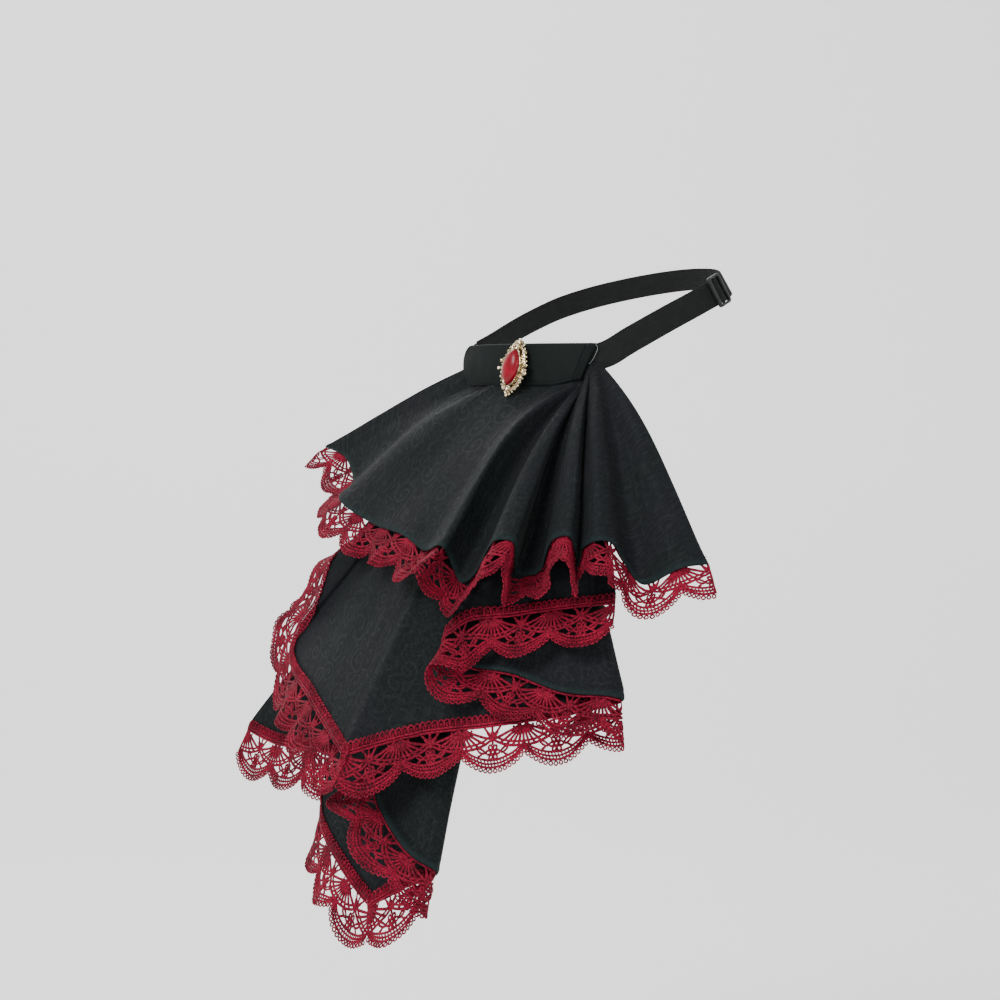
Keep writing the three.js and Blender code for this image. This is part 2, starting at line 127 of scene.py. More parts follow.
class NodeSheet:
    """A node tree that is filled by calls, for a material or a geometry recipe."""

    def __init__(self, tree: bpy.types.NodeTree) -> None:
        """Start on the given tree."""
        self.tree = tree

    def node(self, kind: str, sockets: dict | None = None, **settings: object) -> Node:
        """Add a node.

        Args:
            kind: the node's type.
            sockets: what goes into its inputs, by name or number: a number, colour, socket or Value.
            **settings: its properties, set before its inputs.

        Returns:
            The node.
        """
        made = self.tree.nodes.new(kind)
        for key, setting in settings.items():
            setattr(made, key, setting)
        for key, given in (sockets or {}).items():
            source = given.socket if isinstance(given, Value) else given
            if isinstance(source, Socket):
                self.tree.links.new(source, made.inputs[key])
            else:
                made.inputs[key].default_value = source
        return made

    def maths(self, operation: str, *operands: Number) -> Value:
        """Work out one operation on values and numbers."""
        node = self.node("ShaderNodeMath", dict(enumerate(operands)), operation=operation)
        return Value(self, node.outputs[0])

    def vector(self, operation: str, *operands, output: int = 0) -> Socket:
        """Work out one operation on vectors, and give the output asked for."""
        node = self.node("ShaderNodeVectorMath", dict(enumerate(operands)), operation=operation)
        return node.outputs[output]

    def scaled(self, vector: Socket, times: Number) -> Socket:
        """Multiply a vector by a number."""
        return self.node("ShaderNodeVectorMath", {0: vector, "Scale": times}, operation="SCALE").outputs[0]

    def axes(self, vector: Socket) -> tuple[Value, Value, Value]:
        """Split a vector into its three values."""
        node = self.node("ShaderNodeSeparateXYZ", {0: vector})
        return tuple(Value(self, socket) for socket in node.outputs)

    def noise(self, where: Socket, size: float, detail: float = 2.0) -> Node:
        """Add soft noise whose grains are about size metres across."""
        sockets = {"Vector": where, "Scale": 1.0 / size, "Detail": detail, "Roughness": 0.5}
        return self.node("ShaderNodeTexNoise", sockets)

    def grain(self, where: Socket, size: float, detail: float = 2.0) -> Value:
        """Give soft noise from 0 to 1 whose grains are about size metres across."""
        return Value(self, self.noise(where, size, detail).outputs[0])

    def laid_flat(self, name: str) -> Socket:
        """Give the place on one of the piece's flat maps."""
        return self.node("ShaderNodeUVMap", uv_map=name).outputs[0]

    def own_place(self) -> Socket:
        """Give the place in the piece's own space."""
        return self.node("ShaderNodeTexCoord").outputs["Object"]

    def blend(self, share: Number, low: Colour, high: Colour) -> Socket:
        """Mix two colours by a share from 0 to 1; each may be a socket."""
        return self.node("ShaderNodeMix", {0: share, 6: low, 7: high}, data_type="RGBA").outputs[2]


# ---- Finishes ----


@dataclass(frozen=True)
class Finish:
    """A surface's looks. Each kind of finish says how it is painted."""

    name: str

    def paint(self, sheet: NodeSheet, surface: Node) -> None:
        """Add the nodes of the finish and join them to the surface shader.

        Args:
            sheet: the material's sheet.
            surface: the surface shader.
        """
        raise NotImplementedError

    def material(self) -> bpy.types.Material:
        """Make the finish's material on first use.

        Returns:
            The material.
        """
        made = bpy.data.materials.get(self.name)
        if made is None:
            made = bpy.data.materials.new(self.name)
            made.use_nodes = True
            sheet = NodeSheet(made.node_tree)
            self.paint(sheet, made.node_tree.nodes["Principled BSDF"])
        return made


def bumped(sheet: NodeSheet, surface: Node, height: Number, distance: float) -> None:
    """Raise the surface by a height value.

    Args:
        sheet: the material's sheet.
        surface: the surface shader.
        height: the height, about 0 to 1.
        distance: metres that a height of 1 stands for.
    """
    bump = sheet.node("ShaderNodeBump", {"Height": height, "Distance": distance})
    sheet.tree.links.new(bump.outputs[0], surface.inputs["Normal"])


def feed(sheet: NodeSheet, surface: Node, **sources: object) -> None:
    """Set or link sockets of the surface shader.

    Args:
        sheet: the material's sheet.
        surface: the surface shader.
        **sources: what goes into each socket, by its name; underscores stand for spaces.
    """
    for name, source in sources.items():
        socket = surface.inputs[name.replace("_", " ")]
        given = source.socket if isinstance(source, Value) else source
        if isinstance(given, Socket):
            sheet.tree.links.new(given, socket)
        else:
            socket.default_value = given


@dataclass(frozen=True)
class Jacquard(Finish):
    """Black cloth with tone-on-tone scrolls woven in."""

    ground: Colour = (0.0042, 0.0060, 0.0061, 1.0)
    violet: Colour = (0.0056, 0.0058, 0.0080, 1.0)
    raised: Colour = (0.0086, 0.0114, 0.0116, 1.0)
    # Pale tone of slubs and creases, also used as a painted highlight on the hairlines
    fluff_and_glint: Colour = (0.016, 0.020, 0.021, 1.0)
    # Painted highlight colour for the rolled edge of the hem
    rolled_edge_highlight: Colour = (0.0080, 0.0200, 0.0195, 1.0)
    scroll_pitch: float = 4.6 * MM
    cell: float = 24 * MM
    warp: float = 0.0009
    weft: float = 0.0011

    def scrolls(self, sheet: NodeSheet, cloth: Socket) -> Value:
        """Draw curled scrolls with leaves between them.

        Args:
            sheet: the material's sheet.
            cloth: the place on the cloth, in metres.

        Returns:
            1 on the scrolls, 0 on the ground.
        """
        sway = sheet.vector("SUBTRACT", sheet.noise(cloth, 24 * MM).outputs["Color"], (0.5, 0.5, 0.5))
        bent = sheet.vector("ADD", cloth, sheet.scaled(sway, 15 * MM))
        sockets = {"Vector": bent, "Scale": 1 / self.cell, "Randomness": 0.9}
        cell = sheet.node("ShaderNodeTexVoronoi", sockets, voronoi_dimensions="2D", feature="F1")
        local = sheet.vector("SUBTRACT", bent, cell.outputs["Position"])
        across, down, _ = sheet.axes(local)
        radius = Value(sheet, sheet.vector("LENGTH", local, output=1))
        chance, _, other = sheet.axes(cell.outputs["Color"])
        turn = sheet.maths("ARCTAN2", down, across) * (chance.step(0.49, 0.51) * 2 - 1)
        curl = (turn + radius * (TURN / self.scroll_pitch) + other * 6.3).sine()
        curls = curl.step(0.3, 0.8) * radius.step(self.cell * 0.44, self.cell * 0.32)
        veins = sheet.grain(bent, 13 * MM, 1.5)
        leaves = (veins * 44).sine().step(0.4, 0.9) * radius.step(self.cell * 0.3, self.cell * 0.42)
        return curls.larger(leaves * 0.8)

    def hairlines(self, sheet: NodeSheet, cloth: Socket, size: float) -> Value:
        """Draw thin, broken, curving lines where the weave's floats catch the light.

        Args:
            sheet: the material's sheet.
            cloth: the place on the cloth, in metres.
            size: how wide their curves are.

        Returns:
            1 on the lines, 0 beside them.
        """
        course = sheet.grain(cloth, size, 1.5)
        broken = Value(sheet, sheet.noise(cloth, size * 0.6, 2).outputs["Color"])
        return (course * 6.0 - 3.0).sine().size().step(0.03, 0.0) * broken.step(0.5, 0.6)

    def paint(self, sheet: NodeSheet, surface: Node) -> None:
        """Paint scrolls, a fine weave, lighter slubs and creases that follow the folds, a painted highlight
        on curving hairlines, and a painted highlight along the rolled edge.
        """
        cloth = sheet.laid_flat("cloth")
        folds = sheet.laid_flat("folds")
        scroll = self.scrolls(sheet, cloth)
        across, down, _ = sheet.axes(cloth)
        threads = (across * (TURN / self.warp)).sine() * (down * (TURN / self.weft)).sine()
        slub = sheet.grain(cloth, 1.8 * MM, 4)
        arcs = self.hairlines(sheet, cloth, 9 * MM) + self.hairlines(sheet, folds, 21 * MM)
        tone = sheet.grain(cloth, 70 * MM, 1)
        drawn = sheet.vector("MULTIPLY", folds, (1.0, 0.055, 1.0))
        lines = sheet.grain(drawn, 5 * MM, 2)
        crease = (lines - 0.5).size().step(0.022, 0.0)
        edge = Value(sheet, sheet.node("ShaderNodeAttribute", attribute_name="edge").outputs["Fac"])
        colour = sheet.blend(tone.step(0.35, 0.65), self.ground, self.violet)
        colour = sheet.blend(scroll * 0.14, colour, self.raised)
        # Lighter along slubs and crease lines; the hairlines (arcs) are a painted highlight where the weave's
        # floats would catch the light
        colour = sheet.blend(slub.step(0.42, 0.75) * 0.5 + crease * 0.25 + arcs * 0.6, colour, self.fluff_and_glint)
        # Painted highlight along the rolled edge, where the roll would catch the light
        colour = sheet.blend(edge, colour, self.rolled_edge_highlight)
        feed(sheet, surface, Base_Color=colour, Roughness=0.72 - scroll * 0.16 + slub * 0.1)
        feed(sheet, surface, Sheen_Weight=0.02, Sheen_Roughness=0.4, Specular_IOR_Level=0.11)
        height = scroll * 0.08 + threads * 0.1 + slub * 0.6 + crease * 0.4 + arcs * 0.5
        bumped(sheet, surface, height, 0.24 * MM)


@dataclass(frozen=True)
class Twill(Finish):
    """Closely woven black cloth with a diagonal or lengthwise rib."""

    colour: Colour = (0.0056, 0.0078, 0.0074, 1.0)
    pale: Colour = (0.0098, 0.0130, 0.0125, 1.0)
    rib: float = 0.9 * MM
    slope: float = 0.6
    roughness: float = 0.55

    def paint(self, sheet: NodeSheet, surface: Node) -> None:
        """Paint ribs with a slow mottle."""
        cloth = sheet.laid_flat("cloth")
        across, down, _ = sheet.axes(cloth)
        ribs = ((across * self.slope + down) * (TURN / self.rib)).sine()
        mottle = sheet.grain(cloth, 6 * MM, 3)
        share = ribs.step(0.2, 1.0) * 0.35 + mottle.step(0.4, 0.75) * 0.4
        feed(sheet, surface, Base_Color=sheet.blend(share, self.colour, self.pale))
        feed(sheet, surface, Roughness=self.roughness + mottle * 0.12, Specular_IOR_Level=0.07)
        bumped(sheet, surface, ribs * 0.35 + mottle * 0.6, 0.16 * MM)


@dataclass(frozen=True)
class Thread(Finish):
    """Twisted, satin-stitched thread."""

    deep: Colour = (0.022, 0.0006, 0.003, 1.0)
    bright: Colour = (0.36, 0.010, 0.040, 1.0)
    twist: float = 0.55 * MM

    def paint(self, sheet: NodeSheet, surface: Node) -> None:
        """Paint thread with painted shade between its strands, and slow changes of dye."""
        along, around, _ = sheet.axes(sheet.laid_flat("thread"))
        strands = (along * (TURN / self.twist) + around * TURN).sine()
        where = sheet.own_place()
        dye = sheet.grain(where, 14 * MM, 3)
        fuzz = sheet.grain(where, 0.9 * MM, 2)
        # strands gives painted light and shade across the twist: lighter on each strand, darker between
        # strands
        share = strands * 0.14 + dye.step(0.3, 0.7) * 0.3 + fuzz.step(0.32, 0.68) * 0.55
        feed(sheet, surface, Base_Color=sheet.blend(share, self.deep, self.bright))
        feed(sheet, surface, Roughness=0.5 + fuzz * 0.25, Specular_IOR_Level=0.12)
        bumped(sheet, surface, strands * 0.4 + fuzz, 0.12 * MM)


@dataclass(frozen=True)
class Moulded(Finish):
    """Moulded black plastic, lightly rubbed."""

    colour: Colour = (0.0100, 0.0115, 0.0110, 1.0)
    worn: Colour = (0.022, 0.0245, 0.024, 1.0)
    roughness: float = 0.3

    def paint(self, sheet: NodeSheet, surface: Node) -> None:
        """Paint a faint grain with rubbed patches."""
        where = sheet.own_place()
        grain = sheet.grain(where, 0.6 * MM, 3)
        rubbed = sheet.grain(where, 4 * MM, 2).step(0.45, 0.7)
        feed(sheet, surface, Base_Color=sheet.blend(rubbed * 0.5, self.colour, self.worn))
        feed(sheet, surface, Roughness=self.roughness + rubbed * 0.14, Specular_IOR_Level=0.25)
        bumped(sheet, surface, grain, 0.04 * MM)


@dataclass(frozen=True)
class Gilt(Finish):
    """Gold-coloured plated metal with darker patches."""

    bright: Colour = (1.0, 0.86, 0.60, 1.0)
    shade: Colour = (0.19, 0.12, 0.045, 1.0)

    def paint(self, sheet: NodeSheet, surface: Node) -> None:
        """Paint plating with darker patches and a cast surface."""
        where = sheet.own_place()
        patch = sheet.grain(where, 2.2 * MM, 3)
        cast = sheet.grain(where, 0.5 * MM, 2)
        feed(sheet, surface, Base_Color=sheet.blend(patch.step(0.35, 0.7), self.bright, self.shade))
        feed(sheet, surface, Metallic=1.0, Roughness=0.1 + patch * 0.2)
        bumped(sheet, surface, cast, 0.05 * MM)


@dataclass(frozen=True)
class RedStone(Finish):
    """A glossy red cabochon with a cloudy, paler heart."""

    deep: Colour = (0.17, 0.0005, 0.007, 1.0)
    pale: Colour = (0.31, 0.002, 0.016, 1.0)

    def paint(self, sheet: NodeSheet, surface: Node) -> None:
        """Paint cloudy streaks under a hard gloss."""
        where = sheet.own_place()
        cloud = sheet.grain(where, 9 * MM, 3)
        feed(sheet, surface, Base_Color=sheet.blend(cloud.step(0.4, 0.72), self.deep, self.pale))
        feed(sheet, surface, Roughness=0.26 + cloud * 0.1, Coat_Weight=0.09, Coat_Roughness=0.05)
        feed(sheet, surface, Specular_IOR_Level=0.2)
        bumped(sheet, surface, cloud, 0.1 * MM)


@dataclass(frozen=True)
class Paper(Finish):
    """The plain pale ground of the studio."""

    colour: Colour = (0.93, 0.93, 0.925, 1.0)
    glow: float = 0.35

    def paint(self, sheet: NodeSheet, surface: Node) -> None:
        """Paint an even, matt ground that is lit from behind."""
        feed(sheet, surface, Base_Color=self.colour, Roughness=0.9)
        feed(sheet, surface, Emission_Color=self.colour, Emission_Strength=self.glow)


CLOTH = Jacquard("black jacquard")
SATIN = Twill("band satin")
ELASTIC = Twill("strap elastic", colour=(0.0105, 0.0115, 0.0112, 1.0), pale=(0.0175, 0.0190, 0.0190, 1.0),
                rib=1.1 * MM, slope=0.0, roughness=0.7)
LACE_THREAD = Thread("lace thread")
SEWING_THREAD = Thread("sewing thread", deep=(0.005, 0.0062, 0.0066, 1.0), bright=(0.013, 0.016, 0.0165, 1.0))
PALE_THREAD = Thread("pale thread", deep=(0.16, 0.18, 0.18, 1.0), bright=(0.42, 0.45, 0.45, 1.0))
PLASTIC = Moulded("slider plastic")
CLASP_PLASTIC = Moulded("clasp plastic", roughness=0.5)
GOLD = Gilt("gilt metal")
RED_STONE = RedStone("red cabochon")
PAPER = Paper("studio paper")


# ---- Shapes ----


def place(side: float, out: float, up: float) -> Array:
    """Give the point that lies side to the wearer's left, out to the front and up, all in millimetres."""
    return np.array([side, -out, up]) * MM


def unit(vectors: Array) -> Array:
    """Scale vectors to a length of 1."""
    return vectors / np.maximum(np.linalg.norm(vectors, axis=-1, keepdims=True), 1e-12)


def eased(value: Array, low: float, high: float) -> Array:
    """Rise smoothly from 0 at low to 1 at high."""
    share = np.clip((value - low) / (high - low), 0.0, 1.0)
    return share * share * (3 - 2 * share)


def signed_power(value: Array, power: float) -> Array:
    """Raise the size of a value to a power, and keep its sign."""
    return np.sign(value) * np.abs(value) ** power


def spokes(count: int) -> Array:
    """Give evenly spaced angles all the way round."""
    return np.linspace(0, 2 * np.pi, count, endpoint=False)


def ellipse(x: float, y: float, wide: float, high: float, count: int) -> Array:
    """Give points round an ellipse about x and y; wide and high are half its sizes."""
    turn = spokes(count)
    return np.stack([x + wide * np.cos(turn), y + high * np.sin(turn)], axis=1)


def onward(points: Array, closed: bool = False) -> Array:
    """Give the way on at each point of a path.

    Args:
        points: the path.
        closed: True if it comes back to its start.

    Returns:
        One way for each point.
    """
    if closed:
        return unit(np.roll(points, -1, axis=0) - np.roll(points, 1, axis=0))
    return unit(np.gradient(points, axis=0))


def walked(points: Array, axis: int = 0) -> Array:
    """Give each point's distance from the first, along a path or along one axis of a grid."""
    steps = np.linalg.norm(np.diff(points, axis=axis), axis=-1)
    return np.insert(steps.cumsum(axis=axis), 0, 0.0, axis=axis)


def numbered(columns: int, rows: int) -> Array:
    """Number the points of a grid, down one column after another."""
    return np.arange(columns * rows).reshape(columns, rows)


def sheet_faces(number: Array) -> Array:
    """Give the faces of a numbered grid, their front where facing() looks."""
    corners = number[:-1, :-1], number[:-1, 1:], number[1:, 1:], number[1:, :-1]
    return np.stack(corners, axis=2).reshape(-1, 4)


def turned_over(faces: Array) -> Array:
    """Make four-cornered faces look the other way, each from the same first corner."""
    return faces[:, [0, 3, 2, 1]]


def ring_faces(number: Array, closed: bool = False) -> Array:
    """Give the faces between rings.

    Args:
        number: the rings' numbers.
        closed: True if the last ring joins the first.

    Returns:
        The faces.
    """
    turned = np.roll(number, -1, axis=1)
    faces = np.stack([number, turned, np.roll(turned, -1, axis=0), np.roll(number, -1, axis=0)], axis=2)
    return (faces if closed else faces[:-1]).reshape(-1, 4)


def cord_faces(number: Array, closed: bool) -> list[list[int]]:
    """Give the faces of a cord through numbered rings, with a cap on both ends unless closed."""
    caps = [] if closed else [number[0][::-1].tolist(), number[-1].tolist()]
    return ring_faces(number, closed).tolist() + caps


def pebble_faces(number: Array) -> list[list[int]]:
    """Give the faces of numbered rings that close to a low and a top point.

    Args:
        number: the rings' numbers. The two points are numbered after them.

    Returns:
        Lists of corner numbers.
    """
    low, turned = number.size, np.roll(number, -1, axis=1)
    foot = np.stack([np.full_like(number[0], low), turned[0], number[0]], axis=1)
    peak = np.stack([np.full_like(number[0], low + 1), number[-1], turned[-1]], axis=1)
    return ring_faces(number).tolist() + foot.tolist() + peak.tolist()


class SmoothCurve:
    """A curve through points, spaced by the root of their distances so that it never loops."""

    def __init__(self, points: Array) -> None:
        """Lay the curve.

        Args:
            points: what it passes through; it runs straight on past both ends.
        """
        first, last = 2 * points[0] - points[1], 2 * points[-1] - points[-2]
        self.points = np.vstack([first, points, last])
        self.spans = len(points) - 1

    def at(self, along: Array) -> Array:
        """Give the points at shares of the way from the first point to the last.

        Args:
            along: shares from 0 to 1, each point being an equal step further.

        Returns:
            One point for each share.
        """
        reach = np.clip(along, 0, 1) * self.spans
        span = np.minimum(reach.astype(int), self.spans - 1)
        t = (reach - span)[:, None]
        a, b, c, d = (self.points[span + k] for k in range(4))
        step = [np.sqrt(np.linalg.norm(q - p, axis=1, keepdims=True)) for p, q in ((a, b), (b, c), (c, d))]
        before, own, after = (np.maximum(s, 1e-6) for s in step)
        leave = ((b - a) / before - (c - a) / (before + own) + (c - b) / own) * own
        arrive = ((c - b) / own - (d - b) / (own + after) + (d - c) / after) * own
        rest = 3 * (c - b) - 2 * leave - arrive
        return b + t * (leave + t * (rest + t * (2 * (b - c) + leave + arrive)))


class SoftNoise:
    """Smooth, repeatable unevenness over a plane, from -1 to 1."""

    def __init__(self, seed: int) -> None:
        """Lay out the lattice for a seed."""
        self.lattice = np.random.default_rng(seed).uniform(-1, 1, (64, 64))

    def at(self, x: Array, y: Array) -> Array:
        """Give the unevenness at places.

        Args:
            x: how far along the places are, in lattice steps.
            y: how far up they are.

        Returns:
            The unevenness, from -1 to 1.
        """
        x, y = np.broadcast_arrays(x, y)
        column, row = np.floor(x).astype(int), np.floor(y).astype(int)
        fx, fy = x - column, y - row
        fx, fy = fx * fx * (3 - 2 * fx), fy * fy * (3 - 2 * fy)
        pick = lambda i, j: self.lattice[(column + i) % 64, (row + j) % 64]
        left = pick(0, 0) * (1 - fy) + pick(0, 1) * fy
        right = pick(1, 0) * (1 - fy) + pick(1, 1) * fy
        return left * (1 - fx) + right * fx


def facing(grid: Array) -> Array:
    """Give the front direction at each point of a grid whose columns run along and rows run down."""
    along, down = np.gradient(grid, axis=0), np.gradient(grid, axis=1)
    return unit(np.cross(down, along))


def row_lengths(grid: Array) -> tuple[Array, Array]:
    """Measure a grid along its rows and down its columns, in metres.

    Args:
        grid: points, columns first.

    Returns:
        Each point's distance along its row, counted from the middle column, and down its column.
    """
    along = walked(grid)
    return along - along[len(along) // 2], walked(grid, 1)


def shown(name: str, data: bpy.types.ID) -> Piece:
    """Make an object, and put it in the scene.

    Args:
        name: its name.
        data: its mesh, lamp or camera.

    Returns:
        The object.
    """
    made = bpy.data.objects.new(name, data)
    bpy.context.scene.collection.objects.link(made)
    return made


def piece_of(name: str, mesh: Mesh, finish: Finish, sharp: float = 50.0) -> Piece:
    """Make an object of a mesh, smooth but for its sharp edges, in one finish.

    Args:
        name: the object's name.
        mesh: its mesh.
        finish: its only finish.
        sharp: degrees past which an edge is sharp.

    Returns:
        The object.
    """
    made = shown(name, mesh)
    mesh.materials.clear()
    mesh.materials.append(finish.material())
    mesh.shade_smooth()
    mesh.set_sharp_from_angle(angle=math.radians(sharp))
    return made


def add_map(mesh: Mesh, name: str, uvs: Array) -> None:
    """Add a flat map to a mesh.

    Args:
        mesh: the mesh.
        name: the map's name.
        uvs: one pair for each point.
    """
    corners = np.empty(len(mesh.loops), dtype=np.int32)
    mesh.loops.foreach_get("vertex_index", corners)
    mesh.uv_layers.new(name=name).uv.foreach_set("vector", uvs[corners].astype(np.float32).ravel())


def add_vectors(mesh: Mesh, name: str, vectors: Array) -> None:
    """Add a vector for each point, which a recipe can read."""
    mesh.attributes.new(name, "FLOAT_VECTOR", "POINT").data.foreach_set("vector", vectors.ravel())


def mesh_of(name: str, points: Array, faces: Sequence, uv_name: str = "", uvs: Array | None = None) -> Mesh:
    """Make a mesh with a UV map given by point.

    Args:
        name: the mesh's name.
        points: its corners, in metres.
        faces: lists of corner numbers.
        uv_name: the UV map's name.
        uvs: one pair for each corner.

    Returns:
        The mesh.
    """
    mesh = bpy.data.meshes.new(name)
    mesh.from_pydata(points.tolist(), [], faces.tolist() if isinstance(faces, np.ndarray) else faces)
    if uvs is not None:
        add_map(mesh, uv_name, uvs)
    return mesh


def wall(name: str, grid: Array, half: Array, uvs: tuple[Array, Array]) -> Mesh:
    """Give a surface a thickness, as one closed mesh.

    Args:
        name: the mesh's name.
        grid: the middle surface, columns first.
        half: half the thickness at each point, in metres.
        uvs: the place on the flat cloth, along and down.

    Returns:
        The closed mesh, its front where facing() looks.
    """
    columns, rows = grid.shape[:2]
    offset = facing(grid) * half[..., None]
    points = np.concatenate([(grid + offset).reshape(-1, 3), (grid - offset).reshape(-1, 3)])
    back, number = columns * rows, numbered(columns, rows)
    fronts = sheet_faces(number)
    backs = turned_over(fronts) + back
    ring = np.concatenate([number[:, 0], number[-1, 1:], number[-2::-1, -1], number[0, -2:0:-1]])
    after = np.roll(ring, -1)
    rims = np.stack([ring, after, after + back, ring + back], axis=1)
    flat = np.stack([uvs[0].ravel(), -uvs[1].ravel()], axis=1)
    faces = np.concatenate([fronts, backs, rims])
    return mesh_of(name, points, faces, "cloth", np.concatenate([flat, flat]))


def joined(objects: Sequence[Piece]) -> Piece:
    """Join objects.

    Args:
        objects: one or more objects.

    Returns:
        The first of them, with the rest in it.
    """
    if len(objects) > 1:
        with bpy.context.temp_override(active_object=objects[0], selected_editable_objects=list(objects)):
            bpy.ops.object.join()
    return objects[0]


@dataclass(frozen=True)
class Cord:
    """One cord of a flat pattern: its course in millimetres, and its section."""

    course: Array
    width: float = 1.0
    height: float = 0.9
    closed: bool = False
    lift: float = 0.0


def flat_cords(name: str, cords: Sequence[Cord], sides: int = 5) -> Mesh:
    """Make the cords of a flat pattern, lying on the plane of x and y with z to the front.

    Args:
        name: the mesh's name.
        cords: the pattern.
        sides: corners of each cord's section.

    Returns:
        A mesh of closed cords, in metres, with the UV map "thread".
    """
    points, faces, uvs, start = [], [], [], 0
    angles = 2 * np.pi * np.arange(sides) / sides
    for cord in cords:
        course, n = cord.course, len(cord.course)
        forward = onward(course, cord.closed)
        aside = np.stack([forward[:, 1], -forward[:, 0]], axis=1)
        wide = aside[:, None, :] * (np.cos(angles)[None, :, None] * cord.width / 2)
        high = np.broadcast_to(np.sin(angles) * cord.height / 2 + cord.lift, (n, sides))
        ring = np.concatenate([course[:, None, :] + wide, high[..., None]], axis=2)
        points.append(ring.reshape(-1, 3))
        flat = np.broadcast_arrays(walked(course)[:, None] * MM, angles[None, :] / TURN)
        uvs.append(np.stack(flat, axis=2).reshape(-1, 2))
        faces += cord_faces(numbered(n, sides) + start, cord.closed)
        start += n * sides
    return mesh_of(name, np.concatenate(points) * MM, faces, "thread", np.concatenate(uvs))


def swept(name: str, path: Array, across: Array, width: float, thick: float, closed: bool = False) -> Mesh:
    """Sweep a flat section with rounded edges along a path.

    Args:
        name: the mesh's name.
        path: points along the middle.
        across: the direction of the width at each point.
        width: the section's width.
        thick: its thickness.
        closed: True if the path comes back to its start.

    Returns:
        The closed mesh, with the UV map "cloth" along and across.
    """
    turn = np.linspace(-np.pi / 2, np.pi / 2, 5)
    flat = width / 2 - thick / 2
    flats = np.linspace(flat, -flat, 7)[1:-1]
    right = np.stack([flat + np.cos(turn) * thick / 2, np.sin(turn) * thick / 2], axis=1)
    top = np.stack([flats, np.full(len(flats), thick / 2)], axis=1)
    section = np.concatenate([right, top, -right, -top])
    forward = onward(path, closed)
    across = unit(across - forward * (across * forward).sum(axis=1, keepdims=True))
    up = np.cross(forward, across)
    rings = path[:, None] + across[:, None] * section[None, :, :1] + up[:, None] * section[None, :, 1:]
    faces = cord_faces(numbered(len(path), len(section)), closed)
    uvs = np.stack(np.broadcast_arrays(walked(path)[:, None], section[None, :, 0]), axis=2)
    return mesh_of(name, rings.reshape(-1, 3), faces, "cloth", uvs.reshape(-1, 2))


# ---- Geometry recipes ----


class Recipe:
    """A Geometry Nodes tree with named inputs, run on an object and kept as a plain mesh."""

    def __init__(self, name: str, inputs: dict[str, str]) -> None:
        """Start a tree.

        Args:
            name: the tree's name.
            inputs: each named input and the kind of its socket, such as "Float".
        """
        self.tree = bpy.data.node_groups.new(name, "GeometryNodeTree")
        face = self.tree.interface
        face.new_socket("Geometry", in_out="INPUT", socket_type="NodeSocketGeometry")
        face.new_socket("Geometry", in_out="OUTPUT", socket_type="NodeSocketGeometry")
        for label, kind in inputs.items():
            face.new_socket(label, in_out="INPUT", socket_type="NodeSocket" + kind)
        self.sheet = NodeSheet(self.tree)
        self.inputs = self.sheet.node("NodeGroupInput").outputs
        self.output = self.sheet.node("NodeGroupOutput").inputs[0]

    def attribute(self, name: str) -> Socket:
        """Read a named vector attribute."""
        kind = "GeometryNodeInputNamedAttribute"
        return self.sheet.node(kind, {"Name": name}, data_type="FLOAT_VECTOR").outputs[0]

    def finish(self, geometry: Socket) -> None:
        """End the tree.

        Args:
            geometry: what is made real, in the material of the input "Material".
        """
        real = self.sheet.node("GeometryNodeRealizeInstances", {0: geometry}).outputs[0]
        sockets = {"Geometry": real, "Material": self.inputs["Material"]}
        dressed = self.sheet.node("GeometryNodeSetMaterial", sockets).outputs[0]
        self.tree.links.new(dressed, self.output)

    def run(self, source: Piece, name: str, **values: object) -> Mesh:
        """Run the tree on an object, and take the object away.

        Args:
            source: the object whose mesh is the tree's geometry.
            name: the name of the mesh that is made.
            **values: the named inputs; underscores stand for spaces.

        Returns:
            A plain mesh.
        """
        modifier = source.modifiers.new(self.tree.name, "NODES")
        modifier.node_group = self.tree
        sockets = {s.name: s.identifier for s in self.tree.interface.items_tree if s.in_out == "INPUT"}
        for label, value in values.items():
            modifier[sockets[label.replace("_", " ")]] = value
        source.update_tag()
        view = bpy.context.evaluated_depsgraph_get()
        made = bpy.data.meshes.new_from_object(source.evaluated_get(view))
        made.name = name
        source.modifiers.remove(modifier)
        bpy.data.objects.remove(source)
        return made


